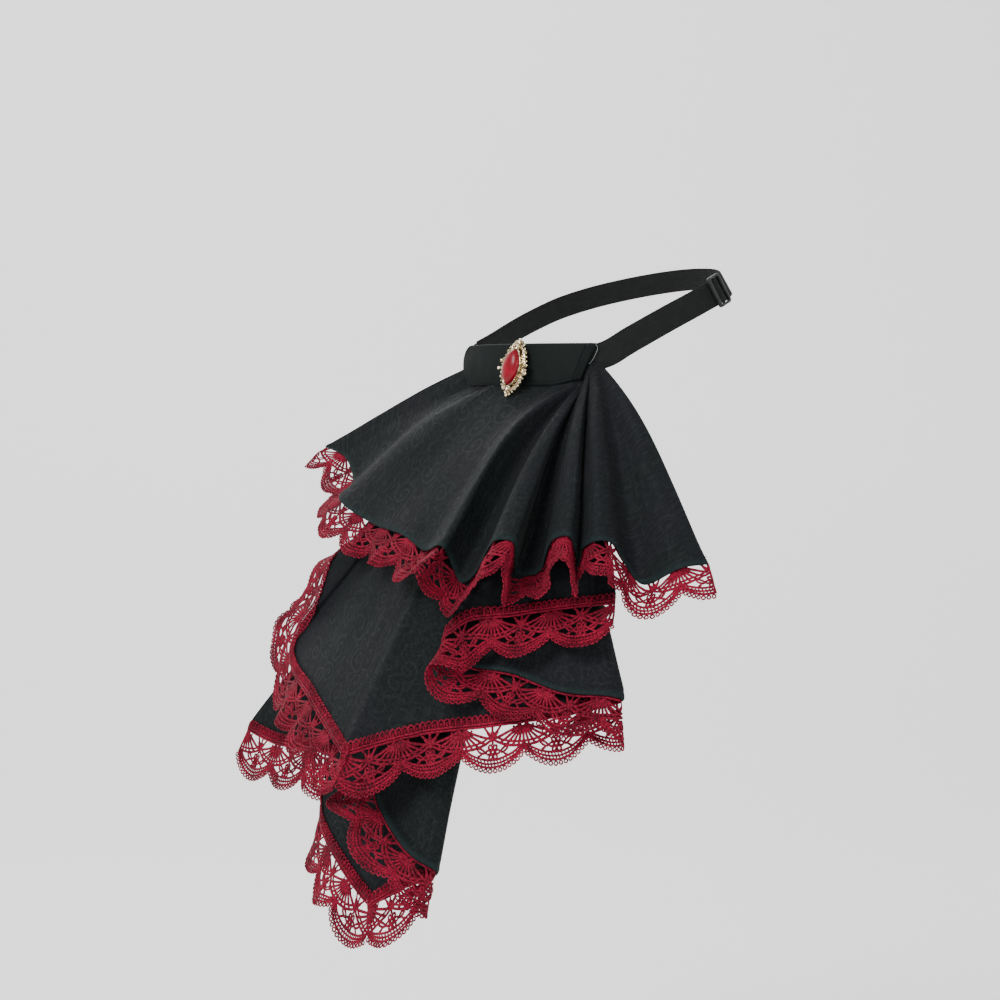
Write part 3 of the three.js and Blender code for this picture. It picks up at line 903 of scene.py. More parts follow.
class LaceRecipe(Recipe):
    """Repeats a flat lace motif and lays it on a guide surface, which is the tree's geometry."""

    def __init__(self) -> None:
        """Build the tree."""
        numbers = ("Repeat Length", "First", "Length", "Depth", "Unevenness", "Seed")
        kinds = {"Motif": "Object", "Start": "Object", "End": "Object", "Repeats": "Int"}
        kinds |= dict.fromkeys(numbers, "Float") | {"Material": "Material"}
        super().__init__("lace along a hem", kinds)
        sheet, given = self.sheet, self.inputs
        repeat, first, length = (Value(sheet, given[name]) for name in ("Repeat Length", "First", "Length"))
        strip = self.row(given["Motif"], given["Repeats"], first, repeat)
        start, end = self.row(given["Start"], 1, 0.0, repeat), self.row(given["End"], 1, length, repeat)
        both = sheet.node("GeometryNodeJoinGeometry")
        for part in (strip, start, end):
            sheet.tree.links.new(part, both.inputs[0])
        real = sheet.node("GeometryNodeRealizeInstances", {0: both.outputs[0]}).outputs[0]
        where = sheet.node("GeometryNodeInputPosition").outputs[0]
        sockets = {"Vector": where, "Scale": 180.0, "W": given["Seed"]}
        noise = sheet.node("ShaderNodeTexNoise", sockets, noise_dimensions="4D")
        shake = sheet.vector("SUBTRACT", noise.outputs["Color"], (0.5, 0.5, 0.5))
        shake = sheet.scaled(shake, Value(sheet, given["Unevenness"]))
        uneven = sheet.node("GeometryNodeSetPosition", {"Geometry": real, "Offset": shake}).outputs[0]
        along, up, front = sheet.axes(where)
        flat = {0: along / length, 1: (up * -1) / Value(sheet, given["Depth"])}
        at = sheet.node("ShaderNodeCombineXYZ", flat).outputs[0]
        ground = self.sampled(where, at)
        lift = sheet.scaled(self.sampled(self.attribute("front"), at), front)
        laid = sheet.vector("ADD", ground, lift)
        done = sheet.node("GeometryNodeSetPosition", {"Geometry": uneven, "Position": laid}).outputs[0]
        self.finish(done)

    def row(self, motif: Socket, count: object, start: Number, step: Value) -> Socket:
        """Set copies of an object's mesh in a row along x.

        Args:
            motif: the object.
            count: how many copies there are.
            start: where the first one goes.
            step: the distance from one to the next.

        Returns:
            The copies.
        """
        sheet = self.sheet
        mesh = sheet.node("GeometryNodeObjectInfo", {"Object": motif}).outputs["Geometry"]
        first = sheet.node("ShaderNodeCombineXYZ", {0: start}).outputs[0]
        offset = sheet.node("ShaderNodeCombineXYZ", {0: step}).outputs[0]
        sockets = {"Count": count, "Start Location": first, "Offset": offset}
        line = sheet.node("GeometryNodeMeshLine", sockets, mode="OFFSET").outputs[0]
        return sheet.node("GeometryNodeInstanceOnPoints", {"Points": line, "Instance": mesh}).outputs[0]

    def sampled(self, value: Socket, at: Socket) -> Socket:
        """Read a vector off the guide surface.

        Args:
            value: the vector.
            at: the place on the surface's flat map.

        Returns:
            What it is there.
        """
        guide = self.inputs["Geometry"]
        kind = "GeometryNodeSampleUVSurface"
        sockets = {"Mesh": guide, "Value": value, "Source UV Map": self.attribute("flat"), "Sample UV": at}
        return self.sheet.node(kind, sockets, data_type="FLOAT_VECTOR").outputs[0]


class RowRecipe(Recipe):
    """Sets copies of a small piece along a path, its x along the path and its z to the front."""

    def __init__(self) -> None:
        """Build the tree."""
        kinds = {"Piece": "Object", "Count": "Int", "Least": "Float", "Most": "Float"}
        super().__init__("pieces along a path", kinds | {"Seed": "Int", "Material": "Material"})
        sheet, given = self.sheet, self.inputs
        curve = sheet.node("GeometryNodeMeshToCurve", {0: given["Geometry"]}).outputs[0]
        sockets = {"Curve": curve, "Count": given["Count"]}
        even = sheet.node("GeometryNodeResampleCurve", sockets, mode="COUNT").outputs[0]
        tangent = sheet.node("GeometryNodeInputTangent").outputs[0]
        kind = "FunctionNodeAlignRotationToVector"
        ahead = sheet.node(kind, {"Vector": tangent}, axis="X").outputs[0]
        sockets = {"Rotation": ahead, "Vector": self.attribute("front")}
        turned = sheet.node(kind, sockets, axis="Z", pivot_axis="X").outputs[0]
        sockets = {"Min": given["Least"], "Max": given["Most"], "Seed": given["Seed"]}
        chance = sheet.node("FunctionNodeRandomValue", data_type="FLOAT")
        for label in ("Min", "Max", "Seed"):
            sockets_of_kind = [s for s in chance.inputs if s.name == label and s.enabled]
            sheet.tree.links.new(sockets[label], sockets_of_kind[0])
        size = next(s for s in chance.outputs if s.enabled)
        mesh = sheet.node("GeometryNodeObjectInfo", {"Object": given["Piece"]}).outputs["Geometry"]
        sockets = {"Points": even, "Instance": mesh, "Rotation": turned, "Scale": size}
        self.finish(sheet.node("GeometryNodeInstanceOnPoints", sockets).outputs[0])

    def along(self, name: str, path: Array, front: Array, small: Piece, step: float,
              spread: float, closed: bool = False, finish: Finish = SEWING_THREAD) -> Mesh:
        """Set a small piece along a path.

        Args:
            name: the name of the mesh that is made.
            path: the path's points.
            front: the front direction at each point.
            small: the piece to repeat, in metres.
            step: the distance from one to the next.
            spread: how much their sizes differ.
            closed: True if the path comes back to its start.
            finish: what they are made of.

        Returns:
            A plain mesh.
        """
        mesh = bpy.data.meshes.new(name + " path")
        n = len(path)
        edges = [(i, i + 1) for i in range(n - 1)] + ([(n - 1, 0)] if closed else [])
        mesh.from_pydata(path.tolist(), edges, [])
        add_vectors(mesh, "front", front)
        guide = shown(name + " path", mesh)
        long = np.linalg.norm(np.diff(path, axis=0), axis=1).sum()
        long += np.linalg.norm(path[-1] - path[0]) if closed else 0.0
        return self.run(guide, name, Piece=small, Count=int(round(long / step)), Least=1 - spread,
                        Most=1 + spread, Seed=7, Material=finish.material())


# ---- The tiers ----


@dataclass(frozen=True)
class Band:
    """The neck band's surface, in millimetres. The tiers are gathered under it."""

    front: float = 70.0
    bend: float = 161.0
    left: float = -57.0
    right: float = 56.0
    slant: float = 9.0
    height: float = 24.5
    thick: float = 2.4
    top: float = -16.5
    fall: float = 0.04

    def out(self, side: Array) -> Array:
        """Give how far forward the band's middle surface is."""
        return self.front - self.bend + np.sqrt(self.bend**2 - side**2)

    def upper_edge(self, side: Array) -> Array:
        """Give the height of the top edge."""
        return self.top - self.fall * side

    def point(self, side: Array, height: Array, out: float = 0.0) -> Array:
        """Give points of the band.

        Args:
            side: places along it.
            height: 0 at the lower edge, 1 at the top.
            out: distance in front of its middle surface.

        Returns:
            The points, in metres.
        """
        up = self.upper_edge(side) - self.height * (1 - height)
        return np.stack(np.broadcast_arrays(side, -(self.out(side) + out), up), axis=-1) * MM

    def gather(self, side: Array, layer: int) -> Array:
        """Give where the cloth of a tier starts under the lower edge.

        Args:
            side: places along the band.
            layer: 0 for the foremost tier, and 1 more for each tier behind it.

        Returns:
            The points, in metres.
        """
        past = np.maximum(side - (self.right - self.slant) - 0.4, 0)
        rise = np.minimum(2.1 * past, 12 + 0.12 * past) + 3.6 * np.maximum(self.left + 1.2 - side, 0)
        out = self.out(side) - 1.7 * layer
        up = self.upper_edge(side) - self.height - 0.95 + rise
        return np.stack([side, -out, up], axis=-1) * MM

    def tucked(self, top: Array, depth: float) -> Array:
        """Move the top edge of a tier's cloth in behind the band.

        Args:
            top: points of the edge, in metres.
            depth: how far to move them, in millimetres.

        Returns:
            The moved points.
        """
        side = top[:, 0] / MM
        right, left = eased(side, 46.5, 50), eased(-side, 54, 57.5)
        back = np.full_like(side, min(0.3 * depth, 0.9))
        return top + np.stack([depth * (left - right), back, depth * (1 - 0.7 * (right + left))], axis=1) * MM


@dataclass(frozen=True)
class Fold:
    """One fold of a tier, in millimetres and degrees: where it starts on the band, and its hem.

    bow is how far it swells on its way down. turn is how far the lace turns back from the cloth there, and
    swing how far it leans to the wearer's right.
    """

    top: float
    side: float
    out: float
    up: float
    bow: float
    turn: float = 0.0
    swing: float = 0.0


def folds(*rows: Sequence[float]) -> tuple[Fold, ...]:
    """Make folds of rows: top, side, out, up and bow, then turn and swing, which may be left out."""
    return tuple(Fold(*row) for row in rows)


UPPER_FOLDS = folds(
    (-59, -168, 80, -73, 2, 0, 45), (-53, -148, 80, -80, 4, 0, 25), (-43, -129, 88, -94, 5),
    (-30, -107, 116, -106, 7), (-15, -61, 126, -121, 5), (5, -24, 134, -127, 3), (25, 0, 139, -135, 7),
    (40, 24, 147, -132, 14), (42, 23, 141, -138, 11), (43.5, 26, 135, -152, 8), (44.5, 40, 137, -148, 8),
    (46, 68, 147, -128, 8, 12), (47.4, 77, 142, -129, 8, 12), (48.3, 66, 130, -147, 8),
    (49.2, 74, 127, -147, 8), (49.9, 79, 125, -145, 8), (50.7, 91, 127, -128, 8, 20),
    (51.9, 101, 124, -126, 8, 20), (52.8, 96, 113, -141, 8), (53.4, 101, 115, -133, 8),
    (54.4, 114, 115, -128, 9, 14), (55.3, 118, 109, -130, 9), (56.1, 120, 101, -141, 9, -6),
    (56.9, 126, 95, -151, 9, -14), (58, 147, 87, -142, 10, -10), (59.2, 156, 77, -140, 10, -6),
)
MIDDLE_FOLDS = folds(
    (-38, -88, 108, -124, -2, -10), (-35.5, -97, 125, -140, -2, -10), (-32, -98, 138, -168, -2, 70),
    (-26, -106, 148, -193, -2, 25), (-18, -57, 170, -213, 0), (-10, -8, 188, -234, 0),
    (-7, 0, 191, -237, 0), (-5, 6, 186, -235, 0), (1, 30, 166, -226, 0), (8, 59, 148, -221, 0),
    (17, 90, 128, -215, 0), (24, 115, 110, -208, 0), (26, 123, 107, -205, 1), (28, 120, 113, -203, 2),
    (31, 98, 123, -202, 3, 9), (34, 68, 131, -194, 3, 15), (36, 37, 145, -189, 3, 20),
    (37.2, 29, 147, -178, 4, 50), (38.5, 36, 141, -167, 5, 15), (41, 63, 126, -163, 6, -12),
    (43.5, 88, 112, -159, 7, -14), (46, 110, 99, -156, 7, -12),
)
LOWER_FOLDS = folds(
    (-30, -147, 150, -239, -10), (-27, -121, 149, -245, -10), (-23, -72, 148, -247, -10),
    (-20, -55, 152, -253, -10), (-17, -58, 163, -263, -9, 50), (-13, -49, 171, -281, -9, 25),
    (-9, -14, 180, -303, -9), (-6, 6, 182, -315, -9), (-4, 11, 182, -318, -9), (-2, 15, 180, -315, -9),
    (1, 26, 176, -308, -9), (4, 43, 167, -300, -9), (5.5, 50, 171, -296, -8), (7, 43, 178, -290, -7, 15),
    (9, 25, 177, -279, -6, 60), (11, 12, 174, -268, -6, 50), (13, 2, 168, -255, -6, 15),
)


class LaceSide(Enum):
    """Which face of the hem the lace is sewn to."""

    BEHIND = -1
    IN_FRONT = 1


@dataclass
class Drape:
    """A tier's hanging surface: straight folds from the band to the hem, swollen by each fold's bow."""

    folds: tuple[Fold, ...]
    layer: int
    rise: float
    band: Band = field(default_factory=Band)
    fade: float = 1.7
    near_hem: float = 0.94
    repeat: float = LACE_REPEAT * MM
    shares: tuple[float, ...] = (0.12, 0.27, 0.42, 0.58, 0.73, 0.88)  # where the lace's fall is worked out

    def __post_init__(self) -> None:
        """Lay the curves through the folds, and measure the hem."""
        folds = self.folds
        self.top = SmoothCurve(self.band.gather(np.array([f.top for f in folds]), self.layer))
        self.hem = SmoothCurve(np.array([place(f.side, f.out, f.up) for f in folds]))
        way = [math.atan2(f.side, f.out) for f in folds]
        self.bow = SmoothCurve(np.array([
            place(0.86 * math.sin(a), 0.86 * math.cos(a), 0.5) * f.bow for a, f in zip(way, folds)]))
        self.turn = SmoothCurve(np.array([
            (math.radians(f.swing), math.radians(f.turn), i) for i, f in enumerate(folds)]))
        self.grain = np.linspace(0, 1, 4001)
        self.walked = walked(self.hem.at(self.grain))
        self.long = float(self.walked[-1])

    def reach(self, fold: int) -> float:
        """Give how far along the hem a fold is, in millimetres."""
        return float(np.interp(fold / (len(self.folds) - 1), self.grain, self.walked)) / MM

    def places(self, shares: Array) -> Array:
        """Turn shares of the hem's length into the folds' own measure."""
        return np.interp(shares * self.long, self.walked, self.grain)

    def point(self, along: Array, down: Array) -> Array:
        """Give points of the cloth.

        Args:
            along: places by the folds' own measure.
            down: shares of the way from the band to the hem.

        Returns:
            The points, columns first, in metres.
        """
        top, hem, bow = (curve.at(along)[:, None] for curve in (self.top, self.hem, self.bow))
        down = down[None, :, None]
        peak = self.rise / (self.rise + self.fade)
        swell = down**self.rise * (1 - down) ** self.fade / (peak**self.rise * (1 - peak) ** self.fade)
        return top + (hem - top) * down + bow * swell

    def falls(self, along: Array) -> Array:
        """Give the way that the cloth falls where it meets the hem, at places by the folds' own measure."""
        ends = self.point(along, np.array([self.near_hem, 1.0]))
        return unit(ends[:, 1] - ends[:, 0])

    def hangs(self, shares: Array) -> Array:
        """Give the way that the lace hangs from the hem.

        Args:
            shares: places along the hem, as shares of its length.

        Returns:
            One way for each place, a little over 1 long where it turns quickly.
        """
        repeats = round(self.long / self.repeat)
        stops = [(n + s) / repeats for n in range(repeats) for s in self.shares]
        stops = np.array([0.0, *stops, 1.0])
        along = self.places(stops)
        hem = self.hem.at(along)
        before, after = np.vstack([hem[:1], hem[:-1]]), np.vstack([hem[1:], hem[-1:]])
        tangent = unit(after - before)
        fall = self.falls(along)
        fall = unit(fall - tangent * (fall * tangent).sum(axis=1, keepdims=True))
        angles = self.turn.at(along)
        raw = []
        for way, axis, (swing, turn, _) in zip(fall, tangent, angles):
            face = Vector(np.cross(way, axis))
            turned = Matrix.Rotation(turn, 3, Vector(axis)) @ Vector(way)
            raw.append(Matrix.Rotation(-swing, 3, face) @ turned)
        raw = np.array(raw)
        near = 3
        padded = np.vstack([raw[:1]] * near + [raw] + [raw[-1:]] * near)
        eased_ways = unit(sum(padded[near + d : len(raw) + near + d] * (near + 1 - abs(d))
                              for d in range(-near, near + 1)))
        drawn = eased_ways / np.maximum((eased_ways * raw).sum(axis=1, keepdims=True), 0.85)
        curve = SmoothCurve(drawn)
        return curve.at(np.interp(shares, stops, np.linspace(0, 1, len(stops))))


@dataclass
class LacePattern:
    """One repeat of the lace, in millimetres: a flower at x = 0 between the halves of two fans.

    y is 0 at the tops of the header's loops, and falls to the picots, lowest under the flower.
    """

    repeat: float = LACE_REPEAT
    half_repeat: float = LACE_REPEAT / 2
    header: float = 5.4
    hub: float = 7.2
    fan_wide: float = 24.0
    fan_deep: float = 12.4
    flower: float = 21.4
    valley: float = 20.6
    lobe: float = 9.8
    border: float = 4.7

    def swell(self, x: Array) -> Array:
        """Rise from 0 under a fan's hub to 1 under the flower."""
        return np.abs(np.cos(np.pi * np.asarray(x, float) / self.repeat)) ** 0.85

    def edge(self, x: Array) -> Array:
        """Give the depth of the scalloped edge, inside its picots."""
        return self.valley + self.lobe * self.swell(x)

    def drawn_in(self, x: Array) -> Array:
        """Give the share of its full width that the border of cords along the edge has."""
        return 0.55 + 0.45 * self.swell(x)

    def cord(self, x: Array, depth: Array, width: float, height: float, **more: float) -> Cord:
        """Give a cord through places of the flat pattern; more says if it is closed, and its lift."""
        course = np.stack(np.broadcast_arrays(np.asarray(x, float), -np.asarray(depth, float)), axis=1)
        return Cord(course, width, height, **more)

    def cords(self) -> list[Cord]:
        """Give the cords of one repeat."""
        return [*self.headers(), *self.fans(), *self.scallop(), *self.blossom()]

    def half(self, sign: int) -> list[Cord]:
        """Give half a repeat, from the middle of its flower to one side, closed by an overcast cord.

        Args:
            sign: 1 for the half where x is above 0, -1 for the other.

        Returns:
            Its cords.
        """
        y = np.linspace(self.header, float(self.edge(0.0)), 12)
        cords = [self.cord(np.zeros(12), y, 1.5, 1.0)]
        for cord in self.cords():
            course = np.vstack([cord.course, cord.course[:1]]) if cord.closed else cord.course
            inside = np.flatnonzero(sign * course[:, 0] > -0.02)
            for run in np.split(inside, np.flatnonzero(np.diff(inside) > 1) + 1):
                if len(run) > 1:
                    cords.append(Cord(course[run], cord.width, cord.height, lift=cord.lift))
        return cords

    def headers(self) -> list[Cord]:
        """Draw the double header cord, and the tall, overlapping loops that stand on it.

        Returns:
            The cords.
        """
        x = np.linspace(-self.half_repeat, self.half_repeat, 17)
        cords = [self.cord(x, self.header + d, 1.4, 1.05, lift=0.1) for d in (0.0, 1.5)]
        t, loops = np.linspace(0, np.pi, 9), 11
        for i in range(loops):
            middle = -self.half_repeat + (i + 0.5) * self.repeat / loops
            arch = self.header - 0.2 - (self.header - 0.8) * np.sin(t) ** 0.6
            cords.append(self.cord(middle - 1.75 * np.cos(t), arch, 1.12, 0.9, lift=0.12 * (-1) ** i))
            knot = ellipse(middle, self.header - 1.9, 0.62, 0.95, 6).T
            cords.append(self.cord(*knot, 0.8, 0.7, closed=True))
        return cords

    def fans(self) -> list[Cord]:
        """Draw the ribs of both half fans, and the arcs that bound them and cross above the flower.

        Returns:
            The cords.
        """
        cords = []
        for sign in (1, -1):
            for degrees in (0, 16, 31, 45, 58, 70):
                if degrees == 0 and sign < 0:
                    continue
                turn = math.radians(degrees)
                reach = 1 / math.hypot(math.sin(turn) / self.fan_wide, math.cos(turn) / self.fan_deep)
                reach = min(reach, 18.5 / max(math.sin(turn), 0.1))
                r = np.linspace(1.2, reach, 5)
                sag = 0.5 * np.sin(np.pi * (r - 1.2) / (reach - 1.2)) * math.sin(turn)
                x = sign * (r * math.sin(turn) - self.half_repeat)
                cords.append(self.cord(x, self.hub + r * math.cos(turn) + sag, 1.72, 1.0, lift=0.12))
            arcs = ((self.fan_wide, self.fan_deep, 1.35, 1.75),
                    (self.fan_wide - 2.4, self.fan_deep - 2.2, 1.3, 1.45),
                    (6.6, 4.8, 1.4, 1.5), (3.0, 2.2, 1.5, 1.7))
            for wide, deep, stop, width in arcs:
                turn = np.linspace(0, stop, 15 if wide > 10 else 6)
                x = sign * (wide * np.sin(turn) - self.half_repeat)
                cords.append(self.cord(x, self.hub + deep * np.cos(turn), width, 0.95))
        return cords

    def scallop(self) -> list[Cord]:
        """Draw the band of cords along the scalloped edge, and its picots.

        Returns:
            The cords.
        """
        x = np.linspace(-self.half_repeat, self.half_repeat, 27)
        narrow = self.drawn_in(x)
        cords = [self.cord(x, self.edge(x) - d * narrow, width, 1.05, lift=0.1 * (-1) ** k)
                 for k, (d, width) in enumerate(((0.4, 1.5), (2.5, 1.3), (self.border, 1.45)))]
        for middle in np.arange(-19, 20, 2.0):
            span = np.array([middle - 0.5, middle + 0.5])
            inner = self.edge(span[:1]) - self.border * self.drawn_in(span[:1])
            cords.append(self.cord(span, [inner[0], float(self.edge(span[1]))], 0.95, 0.8))
        fine = np.linspace(-self.half_repeat, self.half_repeat, 401)
        border = np.stack([fine, self.edge(fine)], axis=1)
        reach, picots = walked(border), 16
        for i in range(picots):
            at = (i + 0.5) / picots * reach[-1]
            middle, ahead = (np.array([np.interp(a, reach, border[:, k]) for k in (0, 1)])
                             for a in (at, at + 0.4))
            way = unit(ahead - middle)
            x, y = middle + np.array([-way[1], way[0]]) * 1.6
            cords.append(self.cord(*ellipse(x, y, 1.1, 1.05, 8).T, 0.98, 0.85, closed=True))
        return cords

    def blossom(self) -> list[Cord]:
        """Draw the flower with a leaf on each side, its stem, and the ties that hold it in its opening.

        Returns:
            The cords.
        """
        t = spokes(10)
        cords = [self.cord(*ellipse(0.0, self.flower, 1.0, -1.0, 10).T, 1.2, 1.2, closed=True, lift=0.2)]
        for k in range(6):
            way = math.radians(30 + 60 * k)
            reach, aside = 2.95 + 1.35 * np.cos(t), 1.1 * np.sin(t)
            x = reach * math.sin(way) + aside * math.cos(way)
            y = reach * math.cos(way) - aside * math.sin(way)
            cords.append(self.cord(x, self.flower + y, 1.42, 1.05, closed=True))
        cords.append(self.cord([0, 0, 0], [7.0, 12.0, 17.4], 1.6, 0.95))
        cords += [self.cord([sign * 5.4, sign * 3.6, 0], [7.2, 9.4, 12.6], 1.45, 0.95) for sign in (1, -1)]
        ties = (((3.9, 5.2), (self.flower + 0.2, self.flower - 0.1)),
                ((6.4, 7.6, 9.2), (21.3, 22.6, 23.4)), ((1.6, 2.4), (24.9, 26.2)))
        lean = math.radians(32)
        for sign in (1, -1):
            reach, aside = 2.7 * np.cos(t), 1.0 * np.sin(t)
            x = sign * (7.3 + reach * math.cos(lean) - aside * math.sin(lean))
            y = self.flower - 1.2 - reach * math.sin(lean) - aside * math.cos(lean)
            cords.append(self.cord(x, y, 1.42, 1.05, closed=True))
            cords += [self.cord(sign * np.array(tie), depth, 1.5, 0.95) for tie, depth in ties]
        return cords

    def end(self) -> list[Cord]:
        """Give the overcast cord that closes a cut end, half way between two flowers."""
        y = np.linspace(self.header, float(self.edge(self.half_repeat)), 10)
        return [self.cord(np.zeros(10), y, 1.4, 1.0)]


@dataclass(frozen=True)
class Strip:
    """One length of lace along a hem, in millimetres from the hem's start.

    past_start and past_stop are how far it runs on over a corner of the hem, and over is how far it lies in
    front there. from_flower cuts both its ends through a flower, so that they are pointed.
    """

    start: float
    stop: float
    past_start: float = 0.0
    past_stop: float = 0.0
    over: float = 0.0
    from_flower: bool = False

    @property
    def long(self) -> float:
        """Its length."""
        return self.stop + self.past_stop - self.start + self.past_start

    def kept_off(self, along: Array, margin: float) -> Array:
        """Hold places along the hem at least a margin away from the corners that it runs over."""
        low = self.start + margin * (self.past_start > 0)
        return np.clip(along, low, self.stop - margin * (self.past_stop > 0))


@dataclass
class Tools:
    """The recipes and small pieces that every sub-assembly shares."""

    lace: LaceRecipe
    row: RowRecipe
    motif: Piece
    cut: Piece
    first_half: Piece
    last_half: Piece
    stitch: Piece
    bead: Piece
    stud: Piece

    @classmethod
    def made(cls, pattern: LacePattern) -> "Tools":
        """Make the recipes and the small pieces.

        Args:
            pattern: the lace.

        Returns:
            The tools.
        """
        shapes = (pattern.cords(), pattern.end(), pattern.half(1), pattern.half(-1))
        names = ("lace motif", "lace end", "lace start half", "lace end half")
        lace = [piece_of(name, flat_cords(name, cords), LACE_THREAD) for name, cords in zip(names, shapes)]
        stitch = cls.pebble("stitch", (1.15, 0.26, 0.2), squareness=2, around=6)
        bead = cls.pebble("bead", (0.46, 0.46, 0.46), squareness=2, around=8)
        stud = cls.pebble("stud", (0.98, 0.92, 0.95), squareness=2.6, around=10)
        return cls(LaceRecipe(), RowRecipe(), *lace, stitch, bead, stud)

    @staticmethod
    def pebble(name: str, half: Point, squareness: float, around: int) -> Piece:
        """Make a small rounded piece.

        Args:
            name: its name.
            half: half its length, width and height, in millimetres.
            squareness: 2 for an egg, more for a rounded block.
            around: faces round its middle.

        Returns:
            The object, about its own middle.
        """
        lift = np.linspace(-np.pi / 2, np.pi / 2, around // 2 + 1)[1:-1]
        turn = spokes(around) + np.pi / around
        power = lambda value: signed_power(value, 2 / squareness)
        rings = np.array([[(power(np.cos(a)) * power(np.cos(t)), power(np.cos(a)) * power(np.sin(t)),
                            power(np.sin(a))) for t in turn] for a in lift])
        points = np.concatenate([rings.reshape(-1, 3), [[0, 0, -1], [0, 0, 1]]]) * np.array(half) * MM
        faces = pebble_faces(numbered(len(lift), around))
        return piece_of(name, mesh_of(name, points, faces, "thread", points[:, :2]), SEWING_THREAD)

    def put_away(self) -> None:
        """Take the small pieces out of the scene."""
        lace = self.motif, self.cut, self.first_half, self.last_half
        for small in (*lace, self.stitch, self.bead, self.stud):
            bpy.data.objects.remove(small)


# Each gather's width in millimetres, its slope and greatest depth, and where down the cloth it fades.
GATHERS = (
    (11, 0.17, 0.55, 0.0, 0.34), (19, 0.17, 0.9, 0.0, 0.62), (37, 0.10, 1.3, 0.1, 1.6))


@dataclass
class Tier:
    """A gathered tier of black cloth, with the stitching of its hem and its lace.

    close_rows are the shares of the cloth's fall that are left at its last rows. tuck is how far rows of it
    reach up behind the band, and tail how far rows reach down behind lace that is sewn on in front.
    sewn_under is how far lace that is sewn behind reaches up past the hem. They are in millimetres.
    """

    name: str
    cloth_node: str
    lace_node: str
    drape: Drape
    tools: Tools
    lace_side: LaceSide
    seed: int
    drop: float
    corner: int | None = None
    ruffle: float = 3.0
    repeat: float = 34.0
    thin: float = 0.42
    hem_fold: float = 5.0
    columns_per_mm: float = 0.78
    rows: int = 46
    close_rows: tuple[float, ...] = (0.12, 0.115, 0.105, 0.09, 0.07, 0.05, 0.03, 0.012)
    tuck: tuple[float, ...] = (6.0, 4.0, 2.0)
    tail: tuple[float, ...] = (1.0, 2.0, 3.0, 4.0, 5.2, 6.1, 6.8)
    sewn_under: float = 9.4

    def grid(self) -> tuple[Array, Array, Array]:
        """Lay out the cloth's middle surface.

        Returns:
            The points, each column's share of the hem's length, and each row's share of the way down.
        """
        count = int(self.drape.long / MM * self.columns_per_mm)
        shares = np.linspace(0, 1, count)
        along = self.drape.places(shares)
        down = np.linspace(0, 1, self.rows)
        down = down + 0.06 * np.sin(2 * np.pi * down)
        down = np.concatenate([down[down < 0.88], 1 - np.array(self.close_rows), [1.0]])
        body = self.drape.point(along, down)
        tucks = [self.drape.band.tucked(body[:, 0], depth)[:, None] for depth in self.tuck]
        body = np.concatenate([*tucks, body], axis=1)
        down = np.concatenate([[-0.03, -0.02, -0.01], down])
        if self.lace_side is LaceSide.BEHIND:
            return body, shares, down
        tail = np.array(self.tail) * MM
        hangs = self.drape.hangs(shares)
        extra = body[:, -1:] + hangs[:, None] * tail[None, :, None]
        reach = np.linalg.norm(body[:, -1] - body[:, len(self.tuck)], axis=1).mean()
        return np.concatenate([body, extra], axis=1), shares, np.concatenate([down, 1 + tail / reach])

    def wrinkles(self, grid: Array, shares: Array, down: Array) -> Array:
        """Work out how far the cloth stands off its smooth surface: gathers, soft waves and creases.

        Args:
            grid: the smooth surface.
            shares: each column's share of the hem's length.
            down: each row's share of the way down.

        Returns:
            The distance to the front at each point, in metres.
        """
        hem = shares[:, None] * self.drape.long / MM
        tops = np.linalg.norm(np.gradient(grid[:, 0], axis=0), axis=1)
        hems = np.linalg.norm(np.gradient(self.drape.hem.at(self.drape.places(shares)), axis=0), axis=1)
        near = 41
        ratio = np.pad(tops / hems, near // 2, mode="edge")
        ratio = np.convolve(ratio, np.ones(near) / near, mode="valid")[:, None]
        free = eased(down, -0.025, 0.01)[None, :]
        down = np.clip(down, 0.0, 1.0)[None, :]
        stretch = np.minimum(ratio + (1 - ratio) * down, 1.0)
        out = np.zeros(grid.shape[:2])
        for k, (wave, slope, depth, start, stop) in enumerate(GATHERS):
            noise = SoftNoise(self.seed + k).at(hem / wave, down * 1.6 + 3 * k)
            height = np.minimum(wave * slope * stretch, depth)
            out += noise * height * (1 - eased(down, start, stop))
        hand = SoftNoise(self.seed + 7).at(hem / 23 + down * 1.3, down * 5.0)
        fine = SoftNoise(self.seed + 9).at(hem / 9 - down * 2.0, down * 11.0)
        return (out + (hand * 0.45 + fine * 0.14) * eased(down, 0.05, 0.5)) * free * MM

    @staticmethod
    def from_hem(grid: Array) -> Array:
        """Measure down from each point of the cloth to its edge, in metres."""
        return walked(grid[:, ::-1], 1)[:, ::-1]

    def thickness(self, grid: Array) -> Array:
        """Make the cloth thin, with a rounded double fold along the hem and a sunk seam.

        Args:
            grid: the cloth's middle surface.

        Returns:
            Half the thickness at each point, in metres.
        """
        left = self.from_hem(grid) / MM
        half = self.thin + 0.34 * (1 - eased(left, self.hem_fold - 0.9, self.hem_fold))
        half -= 0.16 * np.exp(-(((left - self.hem_fold + 1.1) / 0.5) ** 2))
        return half * np.sqrt(np.clip(left / 0.9, 0.08, 1.0)) * MM

    def strips(self) -> list[Strip]:
        """Share out the hem.

        Returns:
            One length of lace all along it, or two that cross at its corner.
        """
        long = self.drape.long / MM
        if self.corner is None:
            return [Strip(0.0, long, from_flower=True)]
        middle = self.drape.reach(self.corner)
        return [Strip(0.0, middle, past_stop=7.0), Strip(middle, long, past_start=3.0, over=1.7)]

